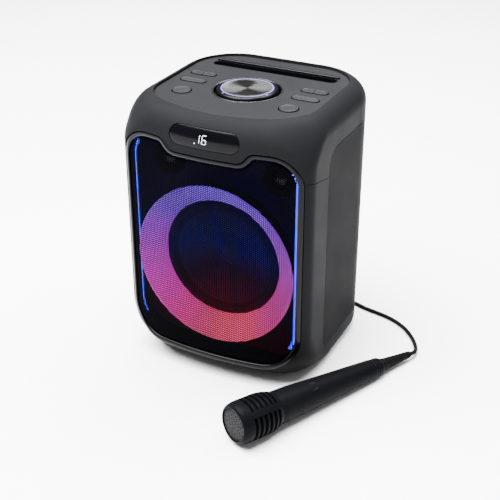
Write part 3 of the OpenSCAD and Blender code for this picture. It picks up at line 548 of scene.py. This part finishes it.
OPEN_HW, OPEN_LOW, OPEN_HIGH = 99.0, 22.0, 264.0


def circle(x, y, r, n):
    return arc(x, y, r, 0, 360, n)[:-1]


def opening(i, n=12):
    """Outline of the front opening, moved in by i: a notch under the display hangs into its top."""
    low_r, high_r = 42, 32
    notch_hw, notch_deep, notch_r, slope = 54, 12, 12, math.radians(50)
    run_x = (notch_deep - 2 * notch_r * (1 - math.cos(slope))) / math.tan(slope)
    notch_x = notch_hw - 2 * notch_r * math.sin(slope) - run_x
    half = (arc(OPEN_HW - low_r, OPEN_LOW + low_r, low_r - i, -90, 0, n)
            + arc(OPEN_HW - high_r, OPEN_HIGH - high_r, high_r - i, 0, 90, n)
            + arc(notch_hw, OPEN_HIGH - notch_deep, notch_r - i, 90, 140, n)
            + arc(notch_x, OPEN_HIGH, notch_r + i, -40, -90, n))
    return half + [(-x, z) for x, z in reversed(half)]


def dense(outline, gap):
    """The outline with its long straight sides divided."""
    out = []
    for k, a in enumerate(outline):
        b = outline[(k + 1) % len(outline)]
        n = max(1, int(math.dist(a, b) / gap))
        out += [(a[0] + (b[0] - a[0]) * j / n, a[1] + (b[1] - a[1]) * j / n) for j in range(n)]
    return out


def opening_rings(profile, gap=6.0, n=14):
    """Rings that follow the opening: profile holds (distance in from it, depth behind the front surface)."""
    base = opening(0, n)
    counts = [max(1, int(math.dist(base[k], base[(k + 1) % len(base)]) / gap)) for k in range(len(base))]
    rings = []
    for d, h in profile:
        o = opening(d, n)
        ring = []
        for k, a in enumerate(o):
            b = o[(k + 1) % len(o)]
            ring += [(a[0] + (b[0] - a[0]) * j / counts[k], 0.0, a[1] + (b[1] - a[1]) * j / counts[k])
                     for j in range(counts[k])]
        ring = np.array(ring)
        ring[:, 1] = face_y(ring[:, 0], ring[:, 2]) + h
        rings.append([tuple(q) for q in ring])
    return rings


def along_opening(name, profile, keep, slot, replaces=(), gap=5.0):
    """A bar that follows part of the opening: keep says which points of the outline it covers."""
    rings = opening_rings(profile, gap)
    kept = [k for k, q in enumerate(rings[0]) if keep(q)]
    count = len(rings[0])
    k = next(k for k in kept if (k - 1) % count not in kept)
    order = []
    while k in kept and k not in order:
        order.append(k)
        k = (k + 1) % count
    verts, faces = rings_mesh([[ring[k] for ring in rings] for k in order], cap_start=True, cap_end=True)
    return piece(name, verts, faces, slot, replaces=replaces, smooth=35)


def panel_outline(i):
    """Outline of the control panel, moved in by i: round corners and a bowed front."""
    half_w, y_front, y_back, corner_r, bow_r, n = 87.0, -86.0, 88.0, 46.0, 170.0, 16
    bow_y = y_front + bow_r
    corner_x = half_w - corner_r
    # The bowed front runs into the corner arc where both have the same heading
    corner_y = bow_y - math.sqrt((bow_r - corner_r) ** 2 - corner_x ** 2)
    heading = math.degrees(math.atan2(corner_y - bow_y, corner_x))
    right = (arc(0, bow_y, bow_r - i, -90, heading, n)[:-1]
             + arc(corner_x, corner_y, corner_r - i, heading, 0, n)
             + arc(corner_x, y_back - corner_r, corner_r - i, 0, 90, n))
    return right + [(-x, y) for x, y in reversed(right[1:])]


def pill_outline(length, width, i, n=16):
    """A bar with round ends, moved in by i."""
    r = width / 2 - i
    x = length / 2 - width / 2
    return arc(x, 0, r, -90, 90, n) + arc(-x, 0, r, 90, 270, n)


WALL = 3.0
SEAM = 0.45
# Where the parts of the casing meet: the hood's edge in front and at the sides, and the tray's front end
HOOD_FRONT_Z, HOOD_SIDE_Z, TRAY_Y = 238.0, 223.0, -30.0
# Far enough out to clear the casing on every side
OUT = 150.0
SHELL_Y, SHELL_LOW, SHELL_HIGH, SHELL_R = -40.0, 28.0, 254.0, 20.0


def shell_side(i):
    """The side and back shell's outline seen from the side, moved out by i."""
    return (arc(SHELL_Y + 10, SHELL_LOW + 10, 10 + i, -90, -180, 10)
            + arc(SHELL_Y + SHELL_R, SHELL_HIGH - SHELL_R, SHELL_R + i, 180, 90, 14)
            + [(OUT, SHELL_HIGH + i), (OUT, SHELL_LOW - i)])


around, levels = ((520, 220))
outer = casing_mesh(0.0, around, levels)
inner = casing_mesh(WALL, around // 2, levels // 2)
front_hole = prism(dense(opening(0, 14), 12), "y", -140, Y_SIDE + 12)
side_region = prism(shell_side(0), "x", -OUT, OUT)
side_void = prism(shell_side(SEAM), "x", -OUT, OUT)
hood_region = prism([(-OUT, HOOD_FRONT_Z), (-90, HOOD_FRONT_Z), (-20, HOOD_SIDE_Z), (OUT, HOOD_SIDE_Z),
                     (OUT, 2 * OUT), (-OUT, 2 * OUT)], "x", -OUT, OUT)
frame_region = prism([(-OUT, 0), (TRAY_Y - SEAM, 0), (TRAY_Y - SEAM, 100), (-15, 100), (-15, 221.4),
                      (-90, HOOD_FRONT_Z - SEAM), (-OUT, HOOD_FRONT_Z - SEAM)], "x", -OUT, OUT)
tray_region = prism([(TRAY_Y, 0), (OUT, 0), (OUT, SHELL_LOW - SEAM), (TRAY_Y, SHELL_LOW - SEAM)],
                    "x", -OUT, OUT)

shell = cut(copy_of(outer), inner)

# Heights that clear the top wall, and depths that clear the brow and the back wall
TOP_SPAN, BROW_SPAN, BACK_SPAN = (284, 310), (-140, -80), (90, 125)
DISPLAY_Z, WINDOW = 270.0, (76, 21)
window = [(x, DISPLAY_Z + z) for x, z in pill_outline(*WINDOW, 0)]
jack_recess = [(-38, 34), (38, 34), (38, 70), (-38, 70)]
port = circle(0, 190, 19.3, 48)
screws = [circle(x, z, 2.2, 20) for x in (-35, 35) for z in (92, 150, 238)]

hood = cut(copy_of(shell), hood_region, "INTERSECT")
cut(hood, side_void)
cut(hood, front_hole)
cut_all(hood, [prism(panel_outline(0), "z", *TOP_SPAN), prism(window, "y", *BROW_SPAN)])

front = cut(copy_of(shell), frame_region, "INTERSECT")
cut(front, side_void)
cut(front, front_hole)

sides = cut(copy_of(shell), side_region, "INTERSECT")
cut_all(sides, [prism(outline, "y", *BACK_SPAN) for outline in [jack_recess, port, *screws]])

tray = cut(copy_of(shell), tray_region, "INTERSECT")


def take(form, name, slot, replaces):
    """Turns a cut form into a piece."""
    mesh = form.data.copy()
    mesh.transform(Matrix.Scale(MM, 4))
    discard(form)
    return finish_piece(name, mesh, slot, "root", replaces, smooth=30)


take(hood, "hood_shell", "casing_dark", ["top_hood"])
take(front, "front_surround", "casing_dark", ["front_frame"])
take(sides, "side_and_back_shell", "casing_side", ["rear_shell"])
take(tray, "base_moulding", "casing_dark", ["base_tray"])
discard(outer, inner, shell, front_hole, side_region, side_void, hood_region, frame_region, tray_region)

# Raised lip of the hood along the top of the opening, down to the seam
along_opening("hood_lip", [(-1.5, 0.5), (-1.4, -0.2), (-0.9, -0.5), (-0.35, -0.4), (0.0, 0.1), (0.15, 1.0),
                           (0.15, 5.0), (-1.2, 5.0)],
              lambda q: q[2] > HOOD_FRONT_Z - 1.5, "casing_dark", gap=6.0)

# ---------------------------------------------------------------- bezel and grille

BEZEL, RECESS = 6.0, 2.0
bezel = opening_rings([(0.3, 14.6), (0.3, 2.2), (0.45, 1.5), (0.9, 1.0), (1.8, 0.75), (3.5, 0.7), (4.8, 0.95),
                       (5.6, 1.6), (5.95, 2.6), (BEZEL, 4.0), (BEZEL, 14.6)])
verts, faces = rings_mesh(bezel, closed_profile=True)
piece("bezel_trim", verts, faces, "gloss_black", replaces=["bezel_ring"])

GRILLE_IN = BEZEL + 0.4
# Radius of the grille's turned-back edge
RIM = 3.2


def to_outline(points, outline):
    """Nearest point on a closed outline and signed distance inside it, for many 2D points."""
    o = np.array(outline)
    a, b = o, np.roll(o, -1, axis=0)
    best = np.full(len(points), 1e9)
    near = np.zeros((len(points), 2))
    crossings = np.zeros(len(points), int)
    for p, q in zip(a, b):
        d = q - p
        t = np.clip(((points - p) @ d) / max(d @ d, 1e-12), 0, 1)
        c = p + t[:, None] * d
        dist = np.linalg.norm(points - c, axis=1)
        closer = dist < best
        best[closer], near[closer] = dist[closer], c[closer]
        spans = (p[1] > points[:, 1]) != (q[1] > points[:, 1])
        with np.errstate(divide="ignore", invalid="ignore"):
            cross_x = (q[0] - p[0]) * (points[:, 1] - p[1]) / (q[1] - p[1]) + p[0]
        crossings += spans & (points[:, 0] < cross_x)
    inside = crossings % 2 == 1
    return np.where(inside, best, -best), near


def perforated(pitch, hole_r, thickness):
    """Sheet with staggered rows of round holes: eight points round each hole and each cell."""
    wide = pitch * math.sqrt(3) / 2
    columns = int(2 * (OPEN_HW - GRILLE_IN) / wide) + 3
    rows = int((OPEN_HIGH - OPEN_LOW) / pitch) + 3
    centres = []
    for c in range(columns):
        for r in range(rows):
            centres.append(((c - (columns - 1) / 2) * wide, OPEN_LOW + GRILLE_IN + (r + (c % 2) / 2) * pitch))
    centres = np.array(centres)
    outline = dense(opening(GRILLE_IN, 10), 8)
    d, _ = to_outline(centres, outline)
    centres = centres[d > -0.55 * pitch]
    edge = np.array([(0, .5), (-.5, .5), (-.5, 0), (-.5, -.5), (0, -.5), (.5, -.5), (.5, 0), (.5, .5)])
    edge = edge * (wide, pitch)
    turn = np.radians(90 + 45 * np.arange(8))
    hole = np.stack([np.cos(turn), np.sin(turn)], 1) * hole_r
    flat = np.concatenate([centres[:, None] + edge, centres[:, None] + hole], 1).reshape(-1, 2)
    d, near = to_outline(flat, outline)
    flat = np.where((d < 0)[:, None], near, flat)
    d = np.maximum(d, 0)
    sink = RIM - np.sqrt(np.maximum(RIM ** 2 - np.maximum(RIM - d, 0) ** 2, 0))
    y = face_y(flat[:, 0], flat[:, 1]) + RECESS + sink
    n = len(centres)
    front_face = np.stack([flat[:, 0], y, flat[:, 1]], 1)
    back_face = front_face + (0, thickness, 0)
    verts = np.concatenate([front_face, back_face])
    half = n * 16
    base = np.arange(n)[:, None] * 16
    k = np.arange(8)
    m = (k + 1) % 8
    e0, e1, h0, h1 = base + k, base + m, base + 8 + k, base + 8 + m
    quads = np.concatenate([
        np.stack([e0, h0, h1, e1], -1).reshape(-1, 4),
        np.stack([h0, h0 + half, h1 + half, h1], -1).reshape(-1, 4),
        np.stack([e0 + half, e1 + half, h1 + half, h0 + half], -1).reshape(-1, 4)])
    return verts, quads


verts, quads = perforated(2.3, 0.8, 0.5)
mesh = bpy.data.meshes.new("grille_sheet")
mesh.vertices.add(len(verts))
mesh.vertices.foreach_set("co", (verts * MM).ravel())
mesh.loops.add(quads.size)
mesh.loops.foreach_set("vertex_index", quads.ravel())
mesh.polygons.add(len(quads))
mesh.polygons.foreach_set("loop_start", np.arange(0, quads.size, 4))
mesh.update(calc_edges=True)
bm = bmesh.new()
bm.from_mesh(mesh)
bmesh.ops.remove_doubles(bm, verts=bm.verts, dist=2e-6)
bmesh.ops.dissolve_degenerate(bm, edges=bm.edges, dist=1e-6)
bm.to_mesh(mesh)
bm.free()
finish_piece("grille_sheet", mesh, "grille_metal", replaces=["grille"], smooth=45)
FOLD = RECESS + RIM
flange = opening_rings([(GRILLE_IN, FOLD - 0.2), (GRILLE_IN, FOLD + 3), (GRILLE_IN + 0.8, FOLD + 3),
                        (GRILLE_IN + 0.8, FOLD + 0.3)], n=10)
verts, faces = rings_mesh(flange, closed_profile=True)
piece("grille_flange", verts, faces, "grille_metal")

# ---------------------------------------------------------------- side lights

# The guide slants outwards, so it is seen wide from its own side and thin from the other
GUIDE = [(6.6, 13.0), (7.0, 12.2), (10.2, 9.2), (10.9, 9.1), (11.2, 9.8), (7.6, 13.6)]
CORE = [(7.7, 11.5), (8.0, 10.9), (8.7, 10.3), (9.3, 10.0), (9.4, 10.4), (8.0, 11.7)]


def beside(side):
    """Test for the stretch of the outline that the light guide of one side covers."""
    return lambda q: side * q[0] > 81 and 44 < q[2] < 249


for side, label in ((-1, "left"), (1, "right")):
    along_opening(f"strip_guide_{label}", GUIDE, beside(side), "strip_light", [f"light_strip_{label}"])
    along_opening(f"strip_core_{label}", CORE, beside(side), "strip_core")

# Board that carries the drivers, with the ring light's glow painted on
board = prism(dense(opening(-1.2, 10), 12), "y", -60.5, -51.5)
drivers = ((0, 125, 72), (-62, 224, 13), (62, 224, 13))
cut_all(board, [prism(circle(x, z, r, 64), "y", -70, -40) for x, z, r in drivers])
take(board, "driver_board", "ring_glow_board", ["baffle"])

# ---------------------------------------------------------------- top panel

Z_PANEL = 289.0
KNOB = (0.0, -8.0)


def turned(name, profile, centre, slot, body="root", replaces=()):
    """A piece turned about a vertical axis: profile holds (radius, height)."""
    n = 128
    rings = [[(x, y, z) for x, y in circle(*centre, max(r, 1e-4), n)] for r, z in profile]
    verts, faces = rings_mesh(rings)
    return piece(name, verts, faces, slot, body, replaces)


def stacked(name, outline, centre, profile, slot, body="root", replaces=(), smooth=40):
    """A piece in layers: profile holds (how far the outline is moved in, height)."""
    rings = [[(centre[0] + u, centre[1] + v, z) for u, v in outline(i)] for i, z in profile]
    verts, faces = rings_mesh(rings, cap_start=True, cap_end=True)
    return piece(name, verts, faces, slot, body, replaces, smooth)


def button_outline(kind, i):
    """Outline of a button about its own centre, moved in by i."""
    round_r, length, width, corner = 9.3, 28.0, 9.0, 0.9
    if kind == "round":
        return circle(0, 0, round_r - i, 48)
    if kind == "pill":
        return pill_outline(length, width, i, 12)
    # A half pill: round at its outer end, square at the split
    split_x = -0.25 - i - corner
    corner_y = width / 2 - i - corner
    left = (arc((width - length) / 2, 0, width / 2 - i, 90, 270, 24)
            + arc(split_x, -corner_y, corner, -90, 0, 3) + arc(split_x, corner_y, corner, 0, 90, 3))
    return left if kind == "left" else [(-x, y) for x, y in reversed(left)]


BUTTONS = [(-59, -37.5, "round"), (-63, -6.8, "pill"), (-63, 16.4, "left"), (-63, 16.4, "right"),
           (63, 16.4, "left"), (63, 16.4, "right"), (63, -6.8, "pill"), (59, -37.5, "round")]
SLOT_AT = 55.0
BUTTON_GAP = 1.2

plate = prism(panel_outline(0.3), "z", Z_PANEL - 2.5, Z_PANEL)
holes = [[(x + u, y + v) for u, v in button_outline(kind, -BUTTON_GAP)] for x, y, kind in BUTTONS]
holes += [[(u, SLOT_AT + v) for u, v in pill_outline(143, 13, 0)], circle(*KNOB, 35.4, 96)]
cut_all(plate, [prism(outline, "z", 280, 300) for outline in holes])
take(plate, "panel_plate", "panel", ["control_panel"])

turned("knob_well", [(4.0, 281.5), (35.5, 281.5), (35.4, 288.5), (35.4, 289.0), (35.9, 289.35), (35.6, 289.5),
                     (35.0, 289.4), (34.15, 288.4), (34.0, 287.6), (34.0, 283.4), (33.5, 283.0), (4.0, 283.0),
                     (4.0, 281.5)], KNOB, "knob_black")
turned("knob_well_trim", [(34.25, 288.9), (34.9, 289.5), (35.5, 289.65), (36.1, 289.45), (36.25, 289.05),
                          (35.5, 288.8), (34.25, 288.9)], KNOB, "dark_trim")
turned("knob_skirt", [(3.05, 284.0), (31.2, 284.0), (31.5, 284.4), (31.5, 288.8), (31.35, 289.7),
                      (30.8, 290.7), (29.8, 291.4), (28.6, 291.75), (27.2, 291.8), (26.95, 291.5),
                      (26.95, 290.0), (0, 290.0), (0, 288.0), (3.05, 288.0), (3.05, 284.0)],
       KNOB, "knob_black", "volume_knob", ["knob_body"])
turned("knob_glow", [(25.55, 290.0), (26.9, 290.0), (26.9, 291.5), (26.7, 291.8), (26.25, 291.9),
                     (25.8, 291.8), (25.55, 291.5), (25.55, 290.0)],
       KNOB, "knob_light", "volume_knob", ["knob_light_ring"])
turned("knob_face", [(0, 290.0), (25.5, 290.0), (25.5, 291.6), (25.3, 292.0), (24.9, 292.15), (24.4, 292.1),
                     (23.6, 291.8), (18, 291.6), (9, 291.35), (0, 291.3)], KNOB, "spun_metal", "volume_knob",
       ["knob_cap"])
for number, angle in enumerate((-121, -22)):
    c, s = math.cos(math.radians(angle)), math.sin(math.radians(angle))
    low, high = [], []
    # Across the skirt, its top falls away outwards
    for r, w, top in ((27.7, -0.45, 291.95), (29.9, -0.45, 291.6), (29.9, 0.45, 291.6), (27.7, 0.45, 291.95)):
        x, y = KNOB[0] + r * c - w * s, KNOB[1] + r * s + w * c
        low.append((x, y, 291.0))
        high.append((x, y, top))
    verts, faces = rings_mesh([low, high], cap_start=True, cap_end=True)
    piece(f"knob_tick_{number + 1}", verts, faces, "knob_light", "volume_knob")

KEY_TOP = [(0.3, 285.9), (0, 286.1), (0, 289.55), (0.12, 289.9), (0.45, 290.1), (1.0, 290.1), (1.35, 289.85),
           (1.9, 289.8), (3.0, 289.9), (4.0, 289.94)]
STEM, STEM_R = [(0, 284.4), (0, 286.0)], 2.0
for number, (x, y, kind) in enumerate(BUTTONS, 1):
    stem_x = x + {"left": -7, "right": 7}.get(kind, 0)
    stacked(f"key_top_{number}", lambda i: button_outline(kind, i), (x, y), KEY_TOP, "button_plastic",
            f"key_{number}", smooth=35)
    stacked(f"key_stem_{number}", lambda i: circle(0, 0, STEM_R - i, 20), (stem_x, y), STEM,
            "button_plastic", f"key_{number}", [f"button_{number}"])

# Pocket for a tablet and the polished bar behind it
stacked("slot_pocket", lambda i: pill_outline(142.6, 12.6, i), (0, SLOT_AT),
        [(0.0, 274.6), (0.0, 288.9), (0.1, 289.1), (0.35, 289.2), (0.6, 289.1), (0.8, 288.6), (0.9, 276.6),
         (2.2, 276.0), (5.5, 276.0)], "slot_black", replaces=["slot_liner"])
stacked("slot_bar", lambda i: pill_outline(142, 3.6, i), (0, SLOT_AT + 8.6),
        [(0, 288.9), (0, 290.3), (0.25, 290.9), (0.8, 291.25), (1.5, 291.35), (2.1, 291.35)], "gloss_black")

# ---------------------------------------------------------------- display


def on_brow(x, z, depth):
    """Point of the brow at (x, z), sunk by depth."""
    near, away = -80.0, -112.0
    for _ in range(HALVINGS):
        mid = (near + away) / 2
        if casing_distance(np.array(x), np.array(mid), np.array(z)) > -depth:
            away = mid
        else:
            near = mid
    return (x, near, z)


def window_ring(inset, depth, parts=12):
    """Ring of the window moved in by inset and sunk by depth; its long sides follow the bowed brow."""
    outline = pill_outline(*WINDOW, inset, 12)
    ring = []
    for k, (x, z) in enumerate(outline):
        next_x, next_z = outline[(k + 1) % len(outline)]
        count = parts if abs(next_x - x) > 20 else 1
        ring += [on_brow(x + (next_x - x) * j / count, DISPLAY_Z + z + (next_z - z) * j / count, depth)
                 for j in range(count)]
    return ring


FACE = 0.45
verts, faces = rings_mesh([window_ring(i, depth) for i, depth in (
    (0.25, 2.6), (0.25, 0.9), (0.45, 0.6), (0.9, FACE), (3, FACE), (6, FACE), (9, FACE), (10.3, FACE))],
                          cap_start=True, cap_end=True)
piece("display_window", verts, faces, "display_window", replaces=["display_lens"], smooth=50)

SEGMENTS = {"1": "bc", "6": "acdefg"}
DIGIT_W, DIGIT_H, STROKE = 4.3, 8.4, 0.55


def segment_shape(name):
    """Hexagon of one seven-segment stroke, about the digit's centre."""
    w, h, s, g = DIGIT_W / 2, DIGIT_H / 2, STROKE / 2, 0.18
    if name in "agd":
        z = {"a": h, "g": 0, "d": -h}[name]
        return [(-w + g, z), (-w + g + s, z + s), (w - g - s, z + s), (w - g, z), (w - g - s, z - s),
                (-w + g + s, z - s)]
    x = w if name in "bc" else -w
    z0, z1 = (0, h) if name in "bf" else (-h, 0)
    return [(x, z0 + g), (x + s, z0 + g + s), (x + s, z1 - g - s), (x, z1 - g), (x - s, z1 - g - s),
            (x - s, z0 + g + s)]


verts, faces = [], []


def glowing_plate(outline, x0, z0):
    """Adds a thin plate on the window to the characters; it leans a little."""
    lean = 0.12
    base = len(verts)
    for depth in (0.39, 0.6):
        for u, v in outline:
            verts.append(on_brow(x0 + u + lean * v, z0 + v, depth))
    n = len(outline)
    faces.append(tuple(base + k for k in range(n)))
    for k in range(n):
        m = (k + 1) % n
        faces.append((base + k, base + m, base + n + m, base + n + k))


for place, digit in ((-6.2, "1"), (1.0, "6")):
    for name in SEGMENTS[digit]:
        glowing_plate(segment_shape(name), place, 269.8)
glowing_plate(circle(0, 0, 0.6, 12), -9.4, 264.9)
piece("display_characters", verts, faces, "display_digits", smooth=0)

# ---------------------------------------------------------------- microphone


def mic_rings(profile, n, shape=None):
    """Rings about the microphone's axis: profile holds (distance from the head's front, radius)."""
    rings = []
    for s, r in profile:
        ring = []
        for k in range(n):
            a = 2 * math.pi * k / n
            radius = max(r, 1e-4) if shape is None else shape(s, a, r)
            ring.append(tuple(mic_point(s, radius * math.sin(a), radius * math.cos(a))))
        rings.append(ring)
    return rings


def mic_turned(name, profile, slot, replaces, n):
    verts, faces = rings_mesh(mic_rings(profile, n))
    return piece(name, verts, faces, slot, replaces=replaces)


HEAD_FRONT = [(2.2, 16.4), (1.0, 16.7), (0.6, 17.4)]
HEAD_SIDE = [(0.9, 18.5), (2.0, 19.7), (4, 20.6), (8, 21.3), (12, 21.5), (32, 21.5), (38, 21.0), (43, 20.0),
             (47, 18.8), (50.4, 17.7)]
HEAD_END = [(50.8, 17.2), (50.8, 15.0)]
GROOVES = [(12.4 + 5.9 * k, 15.6 + 5.9 * k) for k in range(6)]
GROOVE_DEPTH, GROOVE_REACH = 3.4, 36.0


def slotted(s, a, r):
    """Radius with six grooves in each of four windows round the head; bars stand between the windows."""
    turn = (math.degrees(a) + 45) % 90 - 45
    if abs(turn) < GROOVE_REACH and any(lo < s < hi for lo, hi in GROOVES):
        return r - GROOVE_DEPTH
    return r


stations = {s for s, r in HEAD_SIDE}
for lo, hi in GROOVES:
    stations |= {round(s, 3) for s in (lo - 0.25, lo + 0.05, lo + 0.3, hi - 0.3, hi - 0.05, hi + 0.25)}
side_s, side_r = zip(*HEAD_SIDE)
head_profile = HEAD_FRONT + [(s, float(np.interp(s, side_s, side_r))) for s in sorted(stations)] + HEAD_END
verts, faces = rings_mesh(mic_rings(head_profile, 240, slotted))
piece("mic_head", verts, faces, "mic_black", replaces=["mic_cage"], smooth=30)

# Woven wire disc in the head's front
verts, faces, index, gaps = [], [], {}, set()
WIRE_PITCH, DISC_R, DISC_BULGE, WIRE_HEIGHT = 2.8, 16.6, 1.5, 1.3
cell = 0.23
steps = int(DISC_R / cell) + 1


def wire(f):
    """Half-round section of a wire that fills the middle half of its pitch."""
    return math.sqrt(max(0, 1 - ((f - math.floor(f) - 0.5) / 0.25) ** 2))


def weave(u, v):
    """Height of the weave: wires of two directions that pass over and under one another."""
    a, b = u / WIRE_PITCH, v / WIRE_PITCH
    over = 1 if (math.floor(a) + math.floor(b)) % 2 == 0 else -1
    return WIRE_HEIGHT * max(wire(a) * (0.5 + 0.22 * over), wire(b) * (0.5 - 0.22 * over))


for i in range(-steps, steps + 1):
    for j in range(-steps, steps + 1):
        u, v = i * cell, j * cell
        r = math.hypot(u, v)
        if r <= DISC_R:
            height = weave(u, v)
            index[i, j] = len(verts)
            verts.append(tuple(mic_point(2.8 - DISC_BULGE * (1 - (r / DISC_R) ** 2) - height, u, v)))
            if height == 0:
                gaps.add((i, j))
for (i, j), k in index.items():
    square = ((i, j), (i + 1, j), (i + 1, j + 1), (i, j + 1))
    if all(q in index for q in square) and not all(q in gaps for q in square):
        faces.append(tuple(index[q] for q in square))
piece("mic_wire_mesh", verts, faces, "mic_mesh_metal", replaces=["mic_mesh"], smooth=75, clean=False)

GRIP = [(50.9, 0.0), (50.9, 16.6), (51.2, 17.1), (52, 17.3), (55.6, 17.25), (55.8, 16.95), (56.2, 16.95),
        (56.4, 17.2), (66, 17.0), (74, 16.75), (74.2, 16.5), (74.6, 16.5), (74.8, 16.7), (100, 15.3),
        (140, 13.1), (181.6, 10.9), (182, 10.6), (182, 0.0)]
SWITCH_S, SWITCH_ROLL = 95.0, math.radians(25)


def mic_block(s0, s1, r, low, high=30):
    """Slot with round ends along the microphone, for cutting into it where the switch faces."""
    outline = arc(s1 - r, 0, r, -90, 90, 10) + arc(s0 + r, 0, r, 90, 270, 10)
    c, k = math.cos(SWITCH_ROLL), math.sin(SWITCH_ROLL)
    rings = [[tuple(mic_point(s, v * c - h * k, h * c + v * k)) for s, v in outline] for h in (low, high)]
    return solid(*rings_mesh(rings, cap_start=True, cap_end=True))


grip = solid(*rings_mesh(mic_rings(GRIP, 96)))
cut_all(grip, [mic_block(SWITCH_S - 15, SWITCH_S + 15, 5.5, 11.5), mic_block(173.5, 178.5, 1.2, 8.0)])
take(grip, "mic_grip", "mic_black", ["mic_handle"])
mic_turned("mic_tail_cap", [(182.1, 0.0), (182.1, 9.9), (182.4, 10.3), (190.5, 10.2), (192.6, 9.9),
                            (193.6, 9.1), (194, 7.8), (194, 0.0)], "mic_black", ["mic_end_cap"], 72)
# Seven ribs that get thinner towards the cord
relief = [(194.05, 0.0), (194.05, 7.3), (194.6, 7.6), (199.5, 7.2), (200.2, 6.8)]
for k in range(7):
    s = 201.0 + 5.4 * k
    r = 6.7 - 0.44 * k
    relief += [(s, r), (s + 4.3, r - 0.3), (s + 4.5, r - 0.75), (s + 5.2, r - 0.8)]
relief += [(239.2, 3.45), (240, 3.2), (240, 0.0)]
mic_turned("mic_relief", relief, "rubber", ["mic_strain_relief"], 48)

# ---------------------------------------------------------------- stage

REACH = 6
ground = bpy.data.meshes.new("ground")
ground.from_pydata([(-REACH, -REACH, 0), (REACH, -REACH, 0), (REACH, REACH, 0), (-REACH, REACH, 0)], [],
                   [(0, 1, 2, 3)])
floor = bpy.data.objects.new("ground", ground)
white, t, shader, where = shaded("ground", Roughness=0.5)
cloud = add(t, "ShaderNodeTexNoise", {"Vector": where}, Scale=3.0, Detail=2.0)
t.links.new(ramp(t, cloud.outputs["Fac"], [(0.3, (0.86, 0.86, 0.865)), (0.7, (0.88, 0.88, 0.885))]),
            shader.inputs["Base Color"])
ground.materials.append(white)
bpy.context.scene.collection.objects.link(floor)

world = bpy.data.worlds.new("studio")
bpy.context.scene.world = world
world.use_nodes = True
sky = world.node_tree.nodes["Background"]
sky.inputs["Color"].default_value = (1, 1, 1, 1)
sky.inputs["Strength"].default_value = 0.3


def soft_light(name, at, towards, size, power):
    data = bpy.data.lights.new(name, "AREA")
    data.shape = "RECTANGLE"
    data.size, data.size_y = size
    data.energy = power
    o = bpy.data.objects.new(name, data)
    o.location = at
    o.rotation_euler = (Vector(towards) - Vector(at)).to_track_quat("-Z", "Y").to_euler()
    bpy.context.scene.collection.objects.link(o)


soft_light("key", (-0.5, -0.35, 2.1), (0.05, 0, 0), (2.0, 2.0), 620)
soft_light("top", (0.3, 0.9, 1.7), (0, 0, 0.1), (1.8, 0.9), 120)
soft_light("side", (1.7, 0.2, 0.9), (0, 0, 0.15), (0.6, 1.2), 4)
